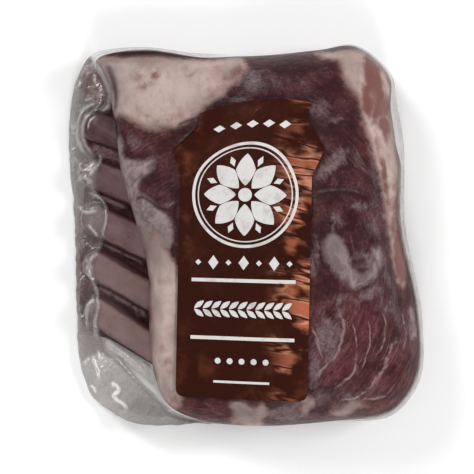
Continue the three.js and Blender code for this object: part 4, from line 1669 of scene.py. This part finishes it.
    def milkiness(self, x: Array, y: Array, z: Array) -> tuple[Array, Array, Array]:
        """How milky the film looks, how pale the milk is, up to painted highlights, and how far juice stains
        it and painted shade darkens it.

        Args:
            x: places across.
            y: places along.
            z: their heights.

        Returns:
            All three, from 0 to 1 at each place.
        """
        inwards = self.outline.reach((0.0, 0.0), np.arctan2(y, x)) - np.hypot(x, y)
        side, end = self.side_haze(inwards, x, y, z), self.end_haze(inwards, x, y, z)
        loose = smoothstep(self.margin.depth(x, y), -1.5, 1.5)
        steep = smoothstep(self.steepness(x, y), 0.15, 1.1)
        folded = crests(self.folds, x, y, scaled=False)
        glints = crests(self.glints, x, y, scaled=False)
        beyond = 1.0 - smoothstep(FORM.slab_inwards(x, y), -0.5, 1.0)
        flat = smoothstep(self.flange.depth(x, y), -1.5, 1.5) * beyond
        strip = smoothstep(self.strip.depth(x, y), -1.0, 1.0)
        lower = smoothstep(-y, -60.0, 60.0)
        ribs = smoothstep(-x, 50.0, 66.0) * lerp(0.0, 0.10, lower * lower)
        pocket = self.pocket.density(x, y)
        juice = smoothstep(-y, -30.0, 20.0) * (1.0 - smoothstep(-y, 30.0, 66.0))
        veil = 0.02 * smoothstep(bumps(x, y, 12.0, 31), 0.1, 0.9)
        milky = loose * np.maximum(0.52 + 0.12 * juice, 0.95 * pocket)
        milky *= 1.0 - smoothstep(z, 9.0, 15.0) * smoothstep(y, 58.0, 70.0)
        covers = (veil + ribs, side, end, milky, 0.82 * flat, 0.78 * strip, 0.62 * folded, 0.9 * glints)
        haze = np.maximum.reduce(covers) + 0.24 * steep * np.maximum(loose, flat)
        # Paleness of the milk: painted highlights on glints, folds and steep wrinkles, and paler milky film
        # elsewhere.
        pales = (
            1.1 * glints, lerp(0.78, 0.60, juice) * folded, lerp(0.64, 1.0, steep) * flat, 0.84 * strip,
            0.50 * steep * loose * (1.0 - 0.9 * pocket.clip(0.0, 1.0)), 0.60 * end,
            lerp(0.95, 0.38, self.up_the_side(y)) * side, 2.0 * ribs,
        )
        glow = np.maximum.reduce(pales)
        # Juice on the lower margin is a real stain; the pocket is painted shade.
        juice_and_shade = loose * np.maximum(2.4 * pocket, 0.85 * juice) * (1.0 - 0.3 * steep)
        juice_and_shade *= 1.0 - np.maximum(glints, 0.7 * folded)
        wall = (1.0 - smoothstep(z, 4.0, 12.0)) * smoothstep(FORM.slab_inwards(x, y), -3.0, 0.0)
        haze = lerp(haze, self.wall_haze, wall)
        return haze.clip(0.0, 1.0), glow.clip(0.0, 1.0), juice_and_shade.clip(0.0, 1.0)

    def build(self, finish: Material) -> Piece:
        """Builds and dresses the bag."""
        piece = shaped_box("bag_film", self.columns, self.rows, self.place)
        x, y, z = read_corners(piece).T / MM
        for name, values in zip(("haze", "glow", "juice_and_shade"), self.milkiness(x, y, z)):
            set_attribute(piece, name, values)
        dress(piece, finish)
        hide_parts("vacuum_bag")
        return piece


# ---------------------------------------------------------------- the label


def unit_disc(name: str, sides: int) -> Piece:
    """A filled circle of this many sides, 1 in radius."""
    return primitive(bpy.ops.mesh.primitive_circle_add, name, vertices=sides, radius=1.0, fill_type="NGON")


class MotifShape(Enum):
    """The plain shapes that the label's print is made of, each with its number of sides."""

    DISC = 48
    LOZENGE = 4
    PETAL = 32


PETAL_POINT = 0.35  # how pointed a petal's ends are


@dataclass(frozen=True)
class Motif:
    """One printed shape: its middle on the label, its half sizes, and how far it is turned, in degrees."""

    shape: MotifShape
    middle: Point
    half: Point
    turn: float = 0.0

    def prism(self) -> Piece:
        """An upright prism over the motif, in the label's own coordinates and in millimetres."""
        piece = unit_disc("motif", self.shape.value)
        a, b, _ = read_corners(piece).T
        if self.shape is MotifShape.PETAL:
            a = a * (1.0 - np.abs(b)) ** PETAL_POINT
        u, v = turned(a * self.half[0], b * self.half[1], -self.turn)
        return raised(piece, u + self.middle[0], v + self.middle[1])


def raised(piece: Piece, u: Array, v: Array) -> Piece:
    """Makes a flat piece an upright prism that cuts right through the label, over places on it."""
    foot, height = 10.0, 60.0
    x, y = FORM.label_place(u, v)
    write_corners(piece, x, y, np.full(x.shape, foot))
    raise_up(piece, height * MM)
    return piece


@dataclass(frozen=True)
class Label:
    """The die-cut foil label with its print, upright in a frame of its own with its middle at 0, 0."""

    length: float = 150.0
    half_width: float = 33.0
    ear_half_width: float = 38.0
    crown_half_width: float = 27.5
    ear_height: float = 50.0
    ear_span: float = 13.0
    crown_rise: float = 4.0
    corner: float = 4.0
    gap: float = 0.35
    thickness: float = 0.3
    columns: int = 84
    rows: int = 180
    ink_lift: float = 0.03
    crease_angle: float = 40.0  # degrees, past which an edge stays sharp
    medallion: Point = (0.0, 27.5)
    rings: tuple[Point, ...] = ((26.6, 1.5), (23.8, 0.6))  # their radii and widths
    ring_sides: int = 96
    heart: Point = (3.4, 3.4)
    petals: int = 8
    petal_radius: float = 12.6
    petal_half: Point = (4.9, 8.0)
    between_radius: float = 18.0  # of the lozenges between the petals
    between_half: Point = (1.5, 2.8)
    bars: tuple[tuple[float, Point], ...] = (  # their heights and half sizes
        (-15.5, (26.0, 0.9)), (-44.5, (26.0, 0.9)), (-66.5, (14.0, 0.6)),
    )

    def half_width_at(self, v: Array) -> Array:
        """Half the label's width at a height over its middle."""
        below = np.clip(1.0 + (v - self.ear_height) / self.ear_span, 0.0, 1.0)
        above = np.clip((v - self.ear_height) / self.ear_span, 0.0, 1.0)
        return lerp(lerp(self.half_width, self.ear_half_width, below), self.crown_half_width, above)

    def covers(self, u: Array, v: Array, margin: float) -> Array:
        """1 where the label lies, falling to 0 at a margin outside it."""
        inside = np.minimum(self.half_width_at(v) - np.abs(u), self.length / 2 - np.abs(v))
        return smoothstep(inside, -margin, 0.0)

    def relief(self, u: Array, v: Array) -> Array:
        """Height of the foil's creases: gentle on the left, and sharp from side to side on the right.

        Args:
            u: how far right of the label's middle the places are.
            v: how far up.

        Returns:
            The heights.
        """
        right = smoothstep(u, 6.0, 24.0) * (1.0 - smoothstep(np.abs(v + 4.0), 44.0, 66.0))
        sharp = creases(u * 0.30, v + u * 0.12, 5.5, 41) * 0.50
        sharp += creases(u * 0.5, v - u * 0.2, 3.0, 42) * 0.14
        return 0.12 + 0.12 * bumps(u, v, 17.0, 43) + right * sharp + 0.10 * creases(u, v, 14.0, 44)

    def place(self, a: Array, b: Array, c: Array) -> tuple[Array, Array, Array]:
        """Shapes the foil."""
        row = b * self.length / 2
        v = row - self.crown_rise * a * a * smoothstep(b, 0.5, 1.0)
        cut = self.corner * (1.0 - rounded(row + self.length / 2, self.corner))
        u = a * (self.half_width_at(v) - cut)
        x, y = FORM.label_place(u, v)
        z = FORM.slab_top(x, y) + self.gap + self.relief(u, v) + np.where(c > 0, self.thickness, 0.0)
        return x, y, z - 0.5 * crests(CLEFTS[:1], x, y)

    def ring(self, radius: float, width: float) -> Piece:
        """An upright prism over a printed ring round the medallion's middle.

        Args:
            radius: the ring's outer radius.
            width: how wide it is.

        Returns:
            The prism.
        """
        piece = unit_disc("ring", self.ring_sides)
        with edit_mode(piece):
            bpy.ops.mesh.inset(thickness=width / radius)
            bpy.ops.mesh.delete(type="FACE")
        a, b, _ = read_corners(piece).T
        return raised(piece, self.medallion[0] + a * radius, self.medallion[1] + b * radius)

    def round_medallion(self, radius: float, turn: float) -> Point:
        """The place this far from the medallion's middle, turned by some degrees from straight up."""
        sin, cos = math.sin(math.radians(turn)), math.cos(math.radians(turn))
        return self.medallion[0] - radius * sin, self.medallion[1] + radius * cos

    def bar(self, v: float, half: Point) -> Piece:
        """An upright prism over a printed bar."""
        piece = primitive(bpy.ops.mesh.primitive_plane_add, "bar", size=2.0)
        a, b, _ = read_corners(piece).T
        return raised(piece, a * half[0], v + b * half[1])

    def motifs(self) -> list[Motif]:
        """The repeated shapes: a rosette, rows of lozenges and discs, and a plaited sprig."""
        motifs = [Motif(MotifShape.DISC, self.medallion, self.heart)]
        for index in range(self.petals):
            turn = 360.0 * index / self.petals
            middle = self.round_medallion(self.petal_radius, turn)
            motifs.append(Motif(MotifShape.PETAL, middle, self.petal_half, turn))
            turn += 180.0 / self.petals
            middle = self.round_medallion(self.between_radius, turn)
            motifs.append(Motif(MotifShape.LOZENGE, middle, self.between_half, turn))
        for index in range(-2, 3):
            motifs.append(Motif(MotifShape.LOZENGE, (8.2 * index, 63.0 - 0.35 * index * index), (3.0, 1.9)))
        for index in range(-3, 4):
            half = (2.6, 3.6) if index % 2 == 0 else (1.5, 1.5)
            motifs.append(Motif(MotifShape.LOZENGE, (7.6 * index, -6.6), half))
        for index in range(-5, 6):
            for side in (-1, 1):
                middle = (4.4 * index, -30.0 + 2.1 * side)
                motifs.append(Motif(MotifShape.PETAL, middle, (1.3, 3.1), -52.0 * side))
        for index in range(-2, 3):
            motifs.append(Motif(MotifShape.DISC, (6.0 * index, -56.0), (1.5, 1.5)))
        return motifs

    def build(self, foil: Material, ink: Material) -> list[Piece]:
        """Builds and dresses the foil, and its print, which is cut out of a copy of the foil.

        Args:
            foil: the label's finish.
            ink: its print's.

        Returns:
            Both pieces.
        """
        piece = shaped_box("label_foil", self.columns, self.rows, self.place)
        x, y, _ = read_corners(piece).T / MM
        u, v = FORM.on_label(x, y)
        # A painted copper highlight towards the foil's right side, fainter towards its ends, with painted
        # shade where the crack crosses it.
        shine = smoothstep(u, 9.0, 31.0) * lerp(1.0, 0.50, smoothstep(np.abs(v + 8.0), 40.0, 74.0))
        shine *= 1.0 - crests(CLEFTS[:1], x, y, scaled=False)
        set_attribute(piece, "shine", shine)
        # A fainter painted highlight at the foil's left edge and towards its lower end.
        left = smoothstep(-u, 22.0, 32.0) * smoothstep(v, -40.0, 0.0)
        set_attribute(piece, "glow", 0.05 + 0.22 * left + 0.10 * smoothstep(-v, 40.0, 60.0))
        prisms = [self.ring(radius, width) for radius, width in self.rings]
        prisms += [self.bar(v, half) for v, half in self.bars]
        cutters = joined(prisms + [motif.prism() for motif in self.motifs()], "cutters")
        printed = copy_of(piece, "label_print")
        apply_modifier(printed, "BOOLEAN", operation="INTERSECT", object=cutters, solver="EXACT")
        bpy.data.objects.remove(cutters)
        px, py, pz = read_corners(printed).T / MM
        write_corners(printed, px, py, pz + self.ink_lift)
        dress(piece, foil)
        dress(printed, ink)
        for part in (piece, printed):
            select_only(part)
            bpy.ops.object.shade_smooth_by_angle(angle=math.radians(self.crease_angle))
        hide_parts("label")
        return [piece, printed]


LABEL = Label()
LOIN = Loin()
BELLY = Belly()


# ---------------------------------------------------------------- the studio


@dataclass(frozen=True)
class SoftBox:
    """A square area light aimed at the pack."""

    name: str
    place: tuple[float, float, float]  # metres
    side: float  # metres
    power: float  # watts


@dataclass(frozen=True)
class Studio:
    """The pale floor, the lights and the camera, which looks straight down."""

    floor_size: float = 4.0
    camera_height: float = 0.92
    aim: Point = (-4.34, -0.51)  # millimetres: the middle of the picture
    view_width: float = 241.9  # millimetres across the picture
    focus_height: float = 0.02
    sensor: float = 36.0
    world: float = 0.24
    boxes: tuple[SoftBox, ...] = (
        SoftBox("back_left", (-0.80, 0.90, 0.90), 0.50, 12.0),
        SoftBox("right", (1.10, 0.25, 0.85), 0.50, 9.5),
        SoftBox("front", (0.15, -1.15, 0.90), 0.50, 9.0),
    )

    def floor(self) -> None:
        """A large pale floor, which isn't part of the object."""
        plane = primitive(bpy.ops.mesh.primitive_plane_add, "floor", size=self.floor_size)
        with edit_mode(plane):
            bpy.ops.mesh.subdivide(number_cuts=8)
        plane.data.materials.append(FloorFinish().material())

    def lights(self) -> None:
        """The soft boxes and a dim even surround."""
        for box in self.boxes:
            bpy.ops.object.light_add(type="AREA", location=box.place)
            lamp = named(box.name)
            lamp.data.shape = "SQUARE"
            lamp.data.size = box.side
            lamp.data.energy = box.power
            toward = -np.array(box.place)
            flat = math.hypot(toward[0], toward[1])
            bearing = math.atan2(toward[1], toward[0]) - math.pi / 2
            lamp.rotation_euler = (math.atan2(flat, -toward[2]), 0.0, bearing)
        world = bpy.data.worlds.new("even surround")
        bpy.context.scene.world = world
        world.use_nodes = True
        background = {"Color": WHITE, "Strength": self.world}
        Nodes(world.node_tree).feed(world.node_tree.nodes["Background"], background)

    def camera(self) -> None:
        """The camera, straight above the pack with +Y up in the picture."""
        place = (self.aim[0] * MM, self.aim[1] * MM, self.camera_height)
        bpy.ops.object.camera_add(location=place, rotation=(0.0, 0.0, 0.0))
        camera = bpy.context.object
        camera.data.sensor_width = self.sensor
        camera.data.lens = self.sensor * (self.camera_height - self.focus_height) / (self.view_width * MM)
        bpy.context.scene.camera = camera

    def build(self) -> None:
        """Sets up the studio."""
        self.floor()
        self.lights()
        self.camera()
        bpy.context.scene.view_settings.view_transform = "Standard"
        bpy.context.scene.view_settings.look = "None"


# ---------------------------------------------------------------- all of it


def main() -> None:
    """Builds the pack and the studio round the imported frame."""
    logging.basicConfig(level=logging.INFO, format="%(name)s %(message)s")
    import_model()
    Studio().build()
    meat = MeatFinish().material()
    LOIN.build(meat)
    BELLY.build(meat)
    RibBones().build(RibFinish().material())
    Bag().build(FilmFinish().material())
    LABEL.build(FoilFinish().material(), InkFinish().material())


if __name__ == "__main__":
    main()
